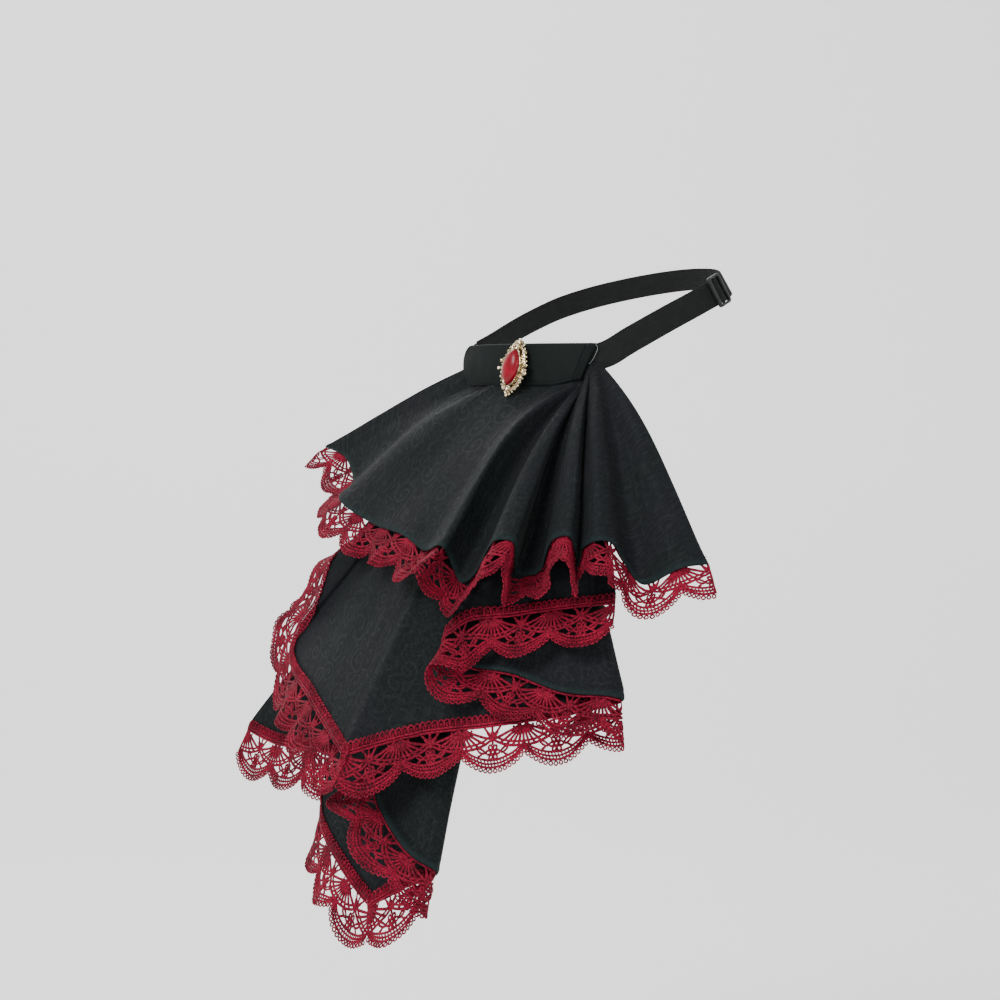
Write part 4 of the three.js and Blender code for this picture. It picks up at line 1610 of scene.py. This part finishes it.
    def lace_guide(self, strip: Strip) -> tuple[Piece, int]:
        """Make the surface that a length of lace lies on, with its flat map and its front.

        Args:
            strip: where the length of lace is.

        Returns:
            The surface, and how many repeats of the pattern cover it evenly half way down.
        """
        mm = np.linspace(strip.start - strip.past_start, strip.stop + strip.past_stop, int(strip.long * 0.7))
        whole = self.drape.long / MM
        held = strip.kept_off(mm, margin=8.0)
        hem, before, after = (self.drape.hem.at(self.drape.places((held + d) / whole))
                              for d in (0.0, -0.4, 0.4))
        tangent = unit(after - before)
        hem = hem + tangent * (mm - held)[:, None] * MM
        far = strip.kept_off(mm, margin=7.0) / whole
        hangs = self.drape.hangs(far)
        fall = self.drape.falls(self.drape.places(far))
        front = unit(np.cross(fall, tangent))
        depth = np.linspace(-3.0, 37.0, 41)
        behind = self.lace_side is LaceSide.BEHIND
        sewn = self.sewn_under if behind else 0.0
        beyond = (depth - sewn) * MM + (0.0 if behind else 0.4 * MM)
        flutter = SoftNoise(self.seed + 20)
        along = mm[:, None]
        loose = eased(depth, sewn + 3, 33)[None, :]
        wave = flutter.at(along / 18, depth[None, :] / 26) * self.ruffle
        wave = wave + flutter.at(along / 7 + 9, depth[None, :] / 13) * 0.28 * self.ruffle
        hold = 1 - eased(depth, sewn + 3, sewn + 9)[None, :]
        no_corner = 400.0
        near = 1 - eased(np.minimum(along - strip.start + no_corner * (strip.past_start <= 0),
                                    strip.stop - along + no_corner * (strip.past_stop <= 0)), 8, 40)
        lift = near * strip.over + self.lace_side.value * (0.35 + 1.15 * hold)
        offset = (wave * loose + lift) * MM
        way = np.where(beyond[None, :, None] < 0, fall[:, None], hangs[:, None])
        points = hem[:, None] + way * beyond[None, :, None]
        swung = unit(np.cross(hangs, tangent))
        lean = eased(depth, sewn, sewn + 6)[None, :, None]
        points = points + unit(front[:, None] * (1 - lean) + swung[:, None] * lean) * offset[..., None]
        margin = 4 * MM
        points = np.concatenate([points[:1] + unit(points[:1] - points[1:2]) * margin, points,
                                 points[-1:] + unit(points[-1:] - points[-2:-1]) * margin])
        reach = walked(points[:, len(depth) // 2])
        evenly = float(reach[-2] - reach[1])
        faces = sheet_faces(numbered(*points.shape[:2]))
        mesh = mesh_of(self.lace_node + " guide", points.reshape(-1, 3), faces)
        u, v = np.broadcast_arrays(((reach - reach[1]) / evenly)[:, None], depth[None, :] / LACE_DEPTH)
        add_vectors(mesh, "flat", np.stack([u, v, np.zeros_like(u)], axis=2))
        add_vectors(mesh, "front", facing(points))
        return shown(mesh.name, mesh), max(round(evenly / MM / self.repeat), 2)

    def lace(self) -> Piece:
        """Lay every length of lace along the hem.

        Returns:
            The lace, as one piece.
        """
        made = []
        for number, strip in enumerate(self.strips()):
            tools, pointed = self.tools, strip.from_flower
            ends = (tools.first_half, tools.last_half) if pointed else (tools.cut, tools.cut)
            guide, repeats = self.lace_guide(strip)
            mesh = tools.lace.run(
                guide, self.lace_node, Motif=tools.motif, Start=ends[0], End=ends[1],
                Repeats=repeats - pointed, Repeat_Length=LACE_REPEAT * MM,
                First=LACE_REPEAT / 2 * (1 + pointed) * MM, Length=repeats * LACE_REPEAT * MM,
                Depth=LACE_DEPTH * MM, Unevenness=self.ruffle * 0.3 * MM, Seed=float(self.seed + number),
                Material=LACE_THREAD.material())
            made.append(piece_of(self.name + "_lace", mesh, LACE_THREAD, ALL_SMOOTH))
        return joined(made)

    def build(self, hangs_from: Piece) -> list[Piece]:
        """Make the tier's cloth, hem stitches and lace.

        Args:
            hangs_from: the band that it is sewn to; not used.

        Returns:
            The pieces made.
        """
        smooth, shares, down = self.grid()
        grid = smooth + facing(smooth) * self.wrinkles(smooth, shares, down)[..., None]
        along, _ = row_lengths(grid)
        _, deep = row_lengths(smooth)
        mesh = wall(self.cloth_node, grid, self.thickness(grid), (along, deep))
        self.map_cloth(mesh, shares, deep)
        cloth = piece_of(self.name + "_cloth", mesh, CLOTH, 60)
        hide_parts(self.cloth_node)
        lace = self.lace()
        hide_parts(self.lace_node)
        seam = self.seam(grid)
        for made in (cloth, lace, seam):
            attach(made, "root")
        self.drape.long
        return [cloth, lace, seam]

    def map_cloth(self, mesh: Mesh, shares: Array, deep: Array) -> None:
        """Give the cloth the map that its creases follow, and mark the band along its rolled edge that gets a
        painted highlight.

        Args:
            mesh: the cloth's mesh.
            shares: each column's share of the hem's length.
            deep: the distance of each point from the top.
        """
        left = (deep[:, -1:] - deep) / MM
        fan = np.broadcast_to(shares[:, None] * self.drape.long, deep.shape)
        flat = np.stack([fan.ravel(), -deep.ravel()], axis=1)
        add_map(mesh, "folds", np.concatenate([flat, flat]))
        # Painted highlight along the rolled hem, strongest about 1.4 mm above its edge
        rolled = np.exp(-(((left - 1.4) / 1.5) ** 2)) * 0.55
        edge = np.concatenate([rolled.ravel(), rolled.ravel()]).astype(np.float32)
        mesh.attributes.new("edge", "FLOAT", "POINT").data.foreach_set("value", edge)

    def seam(self, grid: Array) -> Piece:
        """Sew along the hem's fold.

        Args:
            grid: the cloth's middle surface.

        Returns:
            The row of stitches.
        """
        row = np.abs(self.from_hem(grid) - (self.hem_fold - 1.1) * MM).argmin(axis=1)
        columns = np.arange(len(grid))
        front = facing(grid)[columns, row]
        path = grid[columns, row] + front * (self.thin + 0.12) * MM
        stitch = self.tools.stitch
        mesh = self.tools.row.along(self.name + " stitches", path, front, stitch, 3.1 * MM, spread=0.08)
        return piece_of(self.name + "_stitches", mesh, SEWING_THREAD, ALL_SMOOTH)


# ---- The neck ----


@dataclass
class NeckBand:
    """The smooth band under the throat, with its turned ends and a loose thread."""

    tools: Tools
    shape: Band = field(default_factory=Band)
    columns: int = 190
    rows: int = 46
    sew_line: float = 2.0

    def grid(self) -> Array:
        """Lay out the band's middle surface, its left end rounded and its right end slanted.

        Returns:
            The points, columns first.
        """
        height = 1 - np.linspace(0, 1, self.rows)[None, :]
        left = self.shape.left + 9 * np.abs(2 * height - 1) ** 3.4
        right = self.shape.right - self.shape.slant * (1 - height)
        side = left + (right - left) * np.linspace(0, 1, self.columns)[:, None]
        grid = self.shape.point(side, np.broadcast_to(height, side.shape))
        grid[..., 2] += 3.4 * MM * eased(side, 26, 48) * (1 - height)
        return grid

    def build(self) -> list[Piece]:
        """Make the band, its stitches and its loose thread.

        Returns:
            The three pieces.
        """
        grid = self.grid()
        along, down = row_lengths(grid)
        from_end = (along[-1:] - along) / MM
        from_start = (along - along[:1]) / MM
        from_low, from_top = (down[:, -1:] - down) / MM, down / MM
        from_edge = np.minimum.reduce([from_end, from_start, from_low, from_top])
        half = 1.15 * np.sqrt(np.clip(from_edge / 1.3, 0.04, 1.0))
        half -= 0.3 * np.exp(-(((from_low - self.sew_line) / 0.55) ** 2)) * (from_end > 4)
        half += 0.6 * np.exp(-(((from_end - 3.7) / 0.8) ** 2))
        half -= 0.55 * np.exp(-(((from_end - 5.4) / 0.55) ** 2))
        noise, fine = SoftNoise(3), SoftNoise(5)
        hand = noise.at(along / MM / 17, down / MM / 9) * 0.3 + fine.at(along / MM / 6, down / MM / 5) * 0.07
        hand += 0.5 * np.sin(np.pi * np.clip(down / (self.shape.height * MM), 0, 1)) - 0.25
        grid = grid + facing(grid) * (hand * MM)[..., None]
        band = piece_of("band_satin", wall("neck_band", grid, half * MM, (along, down)), SATIN, 60)
        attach(band, "root")
        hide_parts("neck_band")
        sewn, seam_row = slice(6, -10), int(self.rows * (1 - self.sew_line / self.shape.height))
        front = facing(grid)[sewn, seam_row]
        path = grid[sewn, seam_row] + front * 0.86 * MM
        mesh = self.tools.row.along("band stitches", path, front, self.tools.stitch, 3.0 * MM, spread=0.08)
        stitches = piece_of("band_stitches", mesh, SEWING_THREAD, ALL_SMOOTH)
        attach(stitches, "root")
        thread = self.thread()
        return [band, stitches, thread]

    def thread(self) -> Piece:
        """Leave a loose end of pale thread at the band's slanted end.

        Returns:
            The thread.
        """
        marks = np.array([(52.4, -30.5, 0.9), (55.4, -28.2, 2.2), (57.6, -24.8, 2.6), (58.2, -21.6, 2.2),
                          (55.8, -18.9, 0.9)])
        side, up, off = marks.T
        points = np.stack([side, -(self.shape.out(side) + off), up], axis=1) * MM
        path = SmoothCurve(points).at(np.linspace(0, 1, 40))
        forward = onward(path)
        mesh = swept("loose thread", path, np.cross(forward, UP + 0.3 * forward), 0.19 * MM, 0.18 * MM)
        mesh.uv_layers[0].name = "thread"
        thread = piece_of("loose_thread", mesh, PALE_THREAD, ALL_SMOOTH)
        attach(thread, "root")
        return thread


STRAP_LEFT = ((47, 60.9, -28), (57.5, 53, -24.5), (62.5, 41, -17), (65, 26, -9.3), (66.4, 10, -1.7),
              (67, -8, 6.3))
STRAP_BACK = ((57, -47, 21.5), (43, -59, 25.8), (22, -67, 28.8), (0, -69.5, 29.8), (-22, -67, 28.8),
              (-43, -59, 25.8), (-57, -47, 21.5), (-65.2, -28, 14.6), (-67, -8, 6.3), (-66.4, 10, -1.7),
              (-64.4, 30, -11.2), (-61.2, 44.5, -17.5))
CLASP = ((-61, 45.2, -17.9), (-58.2, 52.5, -22), (-54, 57, -25), (-46, 60.8, -28))


@dataclass
class NeckLoop:
    """The strap round the neck, with its slider and clasp. Points are to the wearer's left, out and up."""

    tilt: float = math.radians(20)
    flare: float = math.radians(15)
    width: float = 15.0
    thick: float = 0.9
    over_bar: float = 2.35
    slider_at: Point = (64.8, -30, 15.5)
    slider_way: Point = (-0.25, -0.9, 0.36)
    slider_across: float = 19.0
    slider_along: float = 14.0
    slider_thick: float = 2.4
    bar: float = 2.0
    centre_bar: float = 2.4

    def lie(self, forward: Array, near: Array) -> tuple[Array, Array]:
        """Work out how the strap lies on the flare of the neck.

        Args:
            forward: the way it runs at each point.
            near: how near each point is to the band, 0 to 1.

        Returns:
            The ways up across the strap and out from the neck.
        """
        flat = place(0, math.sin(self.tilt), math.cos(self.tilt)) / MM
        across = unit(flat * (1 - near) + UP * near)
        flare = self.flare * (1 - near)
        across = unit(across * np.cos(flare) - unit(np.cross(forward, across)) * np.sin(flare))
        return across, unit(np.cross(forward, across))

    def woven(self) -> tuple[Array, Array, Array, Array]:
        """Work out where the slider is.

        Returns:
            Its place, and the ways along, across and out of it.
        """
        forward = unit(place(*self.slider_way))
        across, outward = (way[0] for way in self.lie(forward[None], np.zeros((1, 1))))
        return place(*self.slider_at), forward, across, outward

    def path(self) -> Array:
        """Lay the strap's course, from the wearer's left through the slider and round to the right.

        Returns:
            Its points.
        """
        at, forward, _, outward = self.woven()
        over, under = self.centre_bar / 2 + 0.4, self.slider_along / 2 - self.bar - 0.2
        steps = ((-under, 0.0), (-over, self.over_bar), (over, self.over_bar), (under, 0.0))
        marks = [place(*p) for p in STRAP_LEFT] + [at + (forward * a + outward * b) * MM for a, b in steps]
        marks += [place(*p) for p in STRAP_BACK]
        return SmoothCurve(np.array(marks)).at(np.linspace(0, 1, 442))

    def ribbon(self, name: str, path: Array, width: float, thick: float) -> Mesh:
        """Sweep a flat strip that lies on the neck and stands upright where it meets the band.

        Args:
            name: the mesh's name.
            path: points along its middle.
            width: its width, in millimetres.
            thick: its thickness.

        Returns:
            The closed mesh.
        """
        near = eased(-path[:, 1:2] / MM, 30, 55)
        across, _ = self.lie(onward(path), near)
        return swept(name, path, across, width * MM, thick * MM)

    @staticmethod
    def oblong(along: float, across: float, corner: float) -> Array:
        """Give a rounded oblong, 8 points to a corner.

        Args:
            along: its length.
            across: its width.
            corner: the radius of its corners.

        Returns:
            The points round it.
        """
        points = []
        for quarter, (x, y) in enumerate(((1, 1), (-1, 1), (-1, -1), (1, -1))):
            turn = np.linspace(0, np.pi / 2, 8) + quarter * np.pi / 2
            points.append(np.stack([x * (along / 2 - corner) + corner * np.cos(turn),
                                    y * (across / 2 - corner) + corner * np.sin(turn)], axis=1))
        return np.concatenate(points)

    def slider(self) -> Mesh:
        """Make the slider: a rounded frame round the strap, with a lower bar across its middle.

        Returns:
            The mesh.
        """
        outer = self.oblong(self.slider_along, self.slider_across, 2.2)
        inner = self.oblong(self.slider_along - 2 * self.bar, self.width + 0.8, 0.7)
        turn = spokes(16)
        power = lambda value: signed_power(value, 0.55)
        section = np.stack([0.5 + 0.5 * power(way(turn)) for way in (np.cos, np.sin)], axis=1)
        rings = inner[:, None] + (outer - inner)[:, None] * section[None, :, :1]
        high = np.broadcast_to(section[None, :, 1] * self.slider_thick, rings.shape[:2])
        local = np.concatenate([rings, high[..., None]], axis=2)
        n, m = local.shape[:2]
        faces = turned_over(ring_faces(numbered(n, m), closed=True)).tolist()
        lift, count, sides = self.thick / 2 + 0.3, 9, 12
        way = np.linspace(-self.slider_across / 2 + 1.0, self.slider_across / 2 - 1.0, count)
        bar = np.array([[(self.centre_bar / 2 * power(np.cos(a)), w, 0.4 + 0.4 * power(np.sin(a)))
                         for a in spokes(sides)] for w in way])
        faces += [face[::-1] for face in cord_faces(numbered(count, sides) + n * m, False)]
        at, along, across, outward = self.woven()
        points = np.concatenate([local.reshape(-1, 3), bar.reshape(-1, 3)]) * MM
        points = points @ np.stack([along, across, outward]) + at + outward * lift * MM
        return mesh_of("strap_slider", points, faces)

    def build(self) -> list[Piece]:
        """Make the strap, the slider and the clasp.

        Returns:
            The three pieces.
        """
        mesh = self.ribbon("neck_strap", self.path(), self.width, self.thick)
        strap = piece_of("strap_elastic", mesh, ELASTIC, 60)
        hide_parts("neck_strap")
        slider = piece_of("slider_frame", self.slider(), PLASTIC, 45)
        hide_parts("strap_slider")
        path = SmoothCurve(np.array([place(*p) for p in CLASP])).at(np.linspace(0, 1, 40))
        clasp = piece_of("clasp_plate", self.ribbon("strap_clasp", path, 14.0, 1.6), CLASP_PLASTIC, 60)
        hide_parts("strap_clasp")
        for made in (strap, slider, clasp):
            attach(made, "root")
        return [strap, slider, clasp]


@dataclass
class Brooch:
    """The gilt filigree brooch and its red stone. Sizes are in millimetres, and lean and tip in degrees.

    facets, fine and web are the points round the rims and stone, the rows of beads and the web of wires.
    """

    tools: Tools
    band: Band = field(default_factory=Band)
    side: float = 3.5
    up: float = -31.0
    lean: float = 11.0
    tip: float = 9.0
    height: float = 34.5
    stone_height: float = 20.5
    stone_width: float = 12.5
    seat: float = 2.5
    facets: int = 96
    fine: int = 160
    web: int = 240

    def frame(self) -> Matrix:
        """Work out where the brooch is worn.

        Returns:
            Its own frame: y up its length, z out of its face.
        """
        stand = 0.82 * self.height / 2 * math.sin(math.radians(self.tip))
        front = float(self.band.out(np.array(self.side))) + self.band.thick / 2 + 0.3 + stand
        move = Matrix.Translation(Vector(place(self.side, front, self.up)))
        tip = Matrix.Rotation(math.pi / 2 - math.radians(self.tip), 4, "X")
        return move @ tip @ Matrix.Rotation(-math.radians(self.lean), 4, "Z")

    def oval(self, width: float, height: float, count: int, level: float = 0.0, point: float = 1.3) -> Array:
        """Give a pointed oval, tip to tip along y.

        Args:
            width: its width.
            height: its height.
            count: how many points it has.
            level: how far out of the face it lies.
            point: how sharp its tips are; 1 for an ellipse.

        Returns:
            The points round it.
        """
        turn = spokes(count)
        side = signed_power(np.cos(turn), point)
        return np.stack([side * width / 2, np.sin(turn) * height / 2, np.full(count, level)], axis=1)

    def placed(self, mesh: Mesh) -> Mesh:
        """Move a mesh from the brooch's own frame to where it is worn."""
        mesh.transform(self.frame())
        return mesh

    def beads(self, name: str, path: Array, small: Piece, step: float, spread: float) -> Mesh:
        """Set small pieces round the brooch's face.

        Args:
            name: the mesh's name.
            path: the closed path that they follow.
            small: the piece to repeat.
            step: the distance from one to the next.
            spread: how much their sizes differ.

        Returns:
            The mesh, where it is worn.
        """
        front = np.tile(UP, (len(path), 1))
        along = self.tools.row.along
        return self.placed(along(name, path * MM, front, small, step * MM, spread, closed=True, finish=GOLD))

    def scrolls(self) -> list[Cord]:
        """Draw the filigree: a web between the rims, curls at the tips and buds at the sides.

        Returns:
            The cords.
        """
        outer, inner = self.oval(19.4, 31.4, self.web, point=1.55), self.oval(15.0, 24.0, self.web)
        cords = []
        for wide, high, point, lift in ((17.5, 28.0, 1.4, 1.0), (15.4, 24.4, 1.3, 0.7)):
            course = self.oval(wide, high, self.facets, point=point)[:, :2]
            cords.append(Cord(course, 0.7, 0.8, closed=True, lift=lift))
        for k in range(0, self.web, 12):
            for a, b in ((k, k + 6), (k + 12, k + 6)):
                line = np.linspace(inner[a % self.web, :2], outer[b % self.web, :2], 4)
                cords.append(Cord(line, 0.55, 0.7, lift=0.8))
        t = np.linspace(0, 1, 26)
        for sign in (1, -1):
            for way in (1, -1):
                radius = 1.5 * (1 - 0.62 * t)
                turn = way * (2.6 * np.pi * t) + np.pi / 2
                x = way * 2.0 + radius * np.cos(turn) * 0.95
                curl = np.stack([x, sign * (11.9 + radius * np.sin(turn))], axis=1)
                cords.append(Cord(curl, 0.65, 0.8, lift=3.4))
            eye = ellipse(0.0, sign * 14.3, 0.95, sign * 1.15, 14)
            cords.append(Cord(eye, 0.75, 0.9, closed=True, lift=2.2))
            ball = ellipse(0.0, sign * 16.5, 0.42, sign * 0.42, 14)
            cords.append(Cord(ball, 0.9, 1.5, closed=True, lift=1.5))
        for side in (1, -1):
            for reach, high in ((11.2, 2.6), (11.8, -1.9)):
                stem = np.array([(side * 7.6, high * 0.45), (side * 9.0, high * 0.8), (side * reach, high)])
                cords.append(Cord(stem, 1.1, 1.1, lift=1.8))
                bud = ellipse(side * reach, high, 0.55, 0.55, 14)
                cords.append(Cord(bud, 1.1, 1.7, closed=True, lift=1.8))
        return cords

    def rim(self, width: float, height: float, low: float, high: float, thick: float) -> Mesh:
        """Make a standing wall round the stone.

        Args:
            width: its oval's width.
            height: its oval's height.
            low: where its foot is.
            high: where its top is.
            thick: its thickness.

        Returns:
            The closed mesh.
        """
        path = self.oval(width, height, self.facets, (low + high) / 2) * MM
        upward = np.tile(UP, (self.facets, 1))
        return swept("bezel", path, upward, (high - low) * MM, thick * MM, closed=True)

    def stone(self) -> Mesh:
        """Make the cabochon: rings of the pointed oval that shrink towards a rounded top.

        Returns:
            The mesh.
        """
        turns = np.linspace(0, np.pi / 2, 17)[:-1]
        rings = [self.oval(self.stone_width, self.stone_height, self.facets, self.seat)]
        for turn in turns:
            level = self.seat + 0.8 + 3.6 * math.sin(turn)
            width = math.cos(turn) ** 0.9
            rings.append(self.oval(self.stone_width * width, self.stone_height * width, self.facets, level))
        points = np.concatenate([*rings, [[0, 0, self.seat], [0, 0, self.seat + 4.4]]]) * MM
        return mesh_of("brooch_stone", points, pebble_faces(numbered(len(rings), self.facets)))

    def build(self) -> list[Piece]:
        """Make the setting and the stone.

        Returns:
            Both pieces.
        """
        stud, bead, oval, fine = self.tools.stud, self.tools.bead, self.oval, self.fine
        parts = [
            self.placed(flat_cords("filigree", self.scrolls(), 8)),
            self.placed(self.rim(13.7, 22.1, low=0.0, high=3.5, thick=0.7)),
            self.beads("outer studs", oval(20.2, 32.6, fine, 1.0, 1.6), stud, step=2.6, spread=0.28),
            self.beads("inner beads", oval(14.4, 23.0, fine, 3.5), bead, step=1.15, spread=0.22),
            self.beads("middle beads", oval(17.3, 27.6, fine, 1.9, 1.4), bead, step=1.8, spread=0.35),
        ]
        setting = joined([piece_of(mesh.name, mesh, GOLD, 40) for mesh in parts])
        setting.name = "brooch_filigree"
        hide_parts("brooch_setting")
        stone = piece_of("red_cabochon", self.placed(self.stone()), RED_STONE, 60)
        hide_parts("brooch_stone")
        for made in (setting, stone):
            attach(made, "root")
        return [setting, stone]


# ---- The studio ----


@dataclass
class Studio:
    """A pale floor that sweeps up behind the collar, soft lights, and the photograph's camera."""

    floor: float = -0.52
    eye: Point = (0.8878, -0.8817, -0.1068)
    ahead: Point = (-0.743, 0.669, 0.0)
    lens: float = 75.0
    sensor: float = 36.0
    middle: Point = (0.0, -0.1, -0.15)
    daylight: float = 0.75

    def sweep(self) -> None:
        """Make the floor and backdrop as one curved sheet."""
        look = np.array(self.ahead)
        aside = np.array([look[1], -look[0], 0.0])
        bend = [(1.1 + 0.5 * math.sin(a), self.floor + 0.5 * (1 - math.cos(a)))
                for a in np.linspace(0, np.pi / 2, 24)]
        profile = [(-4.0, self.floor), (0.0, self.floor), *bend, (1.6, 4.0)]
        grid = np.array([[look * far + aside * c + UP * high for far, high in profile]
                         for c in np.linspace(-4.0, 4.0, 9)])
        faces = turned_over(sheet_faces(numbered(*grid.shape[:2])))
        sweep = piece_of("studio_sweep", mesh_of("studio_sweep", grid.reshape(-1, 3), faces), PAPER, 60)

    def light(self, name: str, where: Point, size: float, power: float) -> None:
        """Set up a soft lamp that lights the middle of the collar.

        Args:
            name: the lamp's name.
            where: its place, in metres.
            size: its width.
            power: its strength in watts.
        """
        lamp = bpy.data.lights.new(name, "AREA")
        lamp.shape = "DISK"
        lamp.size = size
        lamp.energy = power
        made = shown(name, lamp)
        made.location = where
        made.rotation_euler = (Vector(self.middle) - Vector(where)).to_track_quat("-Z", "Y").to_euler()

    def build(self) -> None:
        """Set up the floor, the lights and the camera."""
        self.sweep()
        self.light("key lamp", (0.1, -1.9, 1.25), size=1.1, power=46.0)
        self.light("fill lamp", (1.9, -0.4, 0.3), size=1.4, power=12.0)
        self.light("back lamp", (-1.2, 0.5, 1.3), size=1.0, power=9.0)
        world = bpy.data.worlds.new("studio")
        bpy.context.scene.world = world
        world.use_nodes = True
        ground = world.node_tree.nodes["Background"]
        ground.inputs["Color"].default_value = (1.0, 1.0, 1.0, 1.0)
        ground.inputs["Strength"].default_value = self.daylight
        camera = bpy.data.cameras.new("camera")
        camera.lens = self.lens
        camera.sensor_width = self.sensor
        eye = shown("camera", camera)
        eye.location = self.eye
        eye.rotation_euler = Vector(self.ahead).to_track_quat("-Z", "Y").to_euler()
        bpy.context.scene.camera = eye


def main() -> None:
    """Build the studio and the collar, and log how many faces each piece has."""
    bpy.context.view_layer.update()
    Studio().build()
    tools = Tools.made(LacePattern())
    band = NeckBand(tools)
    band_pieces = band.build()
    tiers = [
        Tier("upper_ruffle", "upper_ruffle", "upper_lace", Drape(UPPER_FOLDS, layer=0, rise=1.1), tools,
             LaceSide.BEHIND, seed=11, drop=0.125, ruffle=3.8),
        Tier("middle_cascade", "middle_cascade", "middle_lace", Drape(MIDDLE_FOLDS, layer=1, rise=0.9), tools,
             LaceSide.IN_FRONT, seed=31, drop=0.19, corner=6),
        Tier("lower_cascade", "lower_cascade", "lower_lace", Drape(LOWER_FOLDS, layer=2, rise=0.9), tools,
             LaceSide.IN_FRONT, seed=51, drop=0.26, corner=8),
    ]
    made = [*band_pieces, *NeckLoop().build(), *Brooch(tools).build()]
    for tier in tiers:
        made += tier.build(band_pieces[0])
    tools.put_away()
    for piece in made:
        log.info("%s: %d faces", piece.name, len(piece.data.polygons))


if __name__ == "__main__":
    logging.basicConfig(level=logging.INFO, format="%(message)s")
    main()
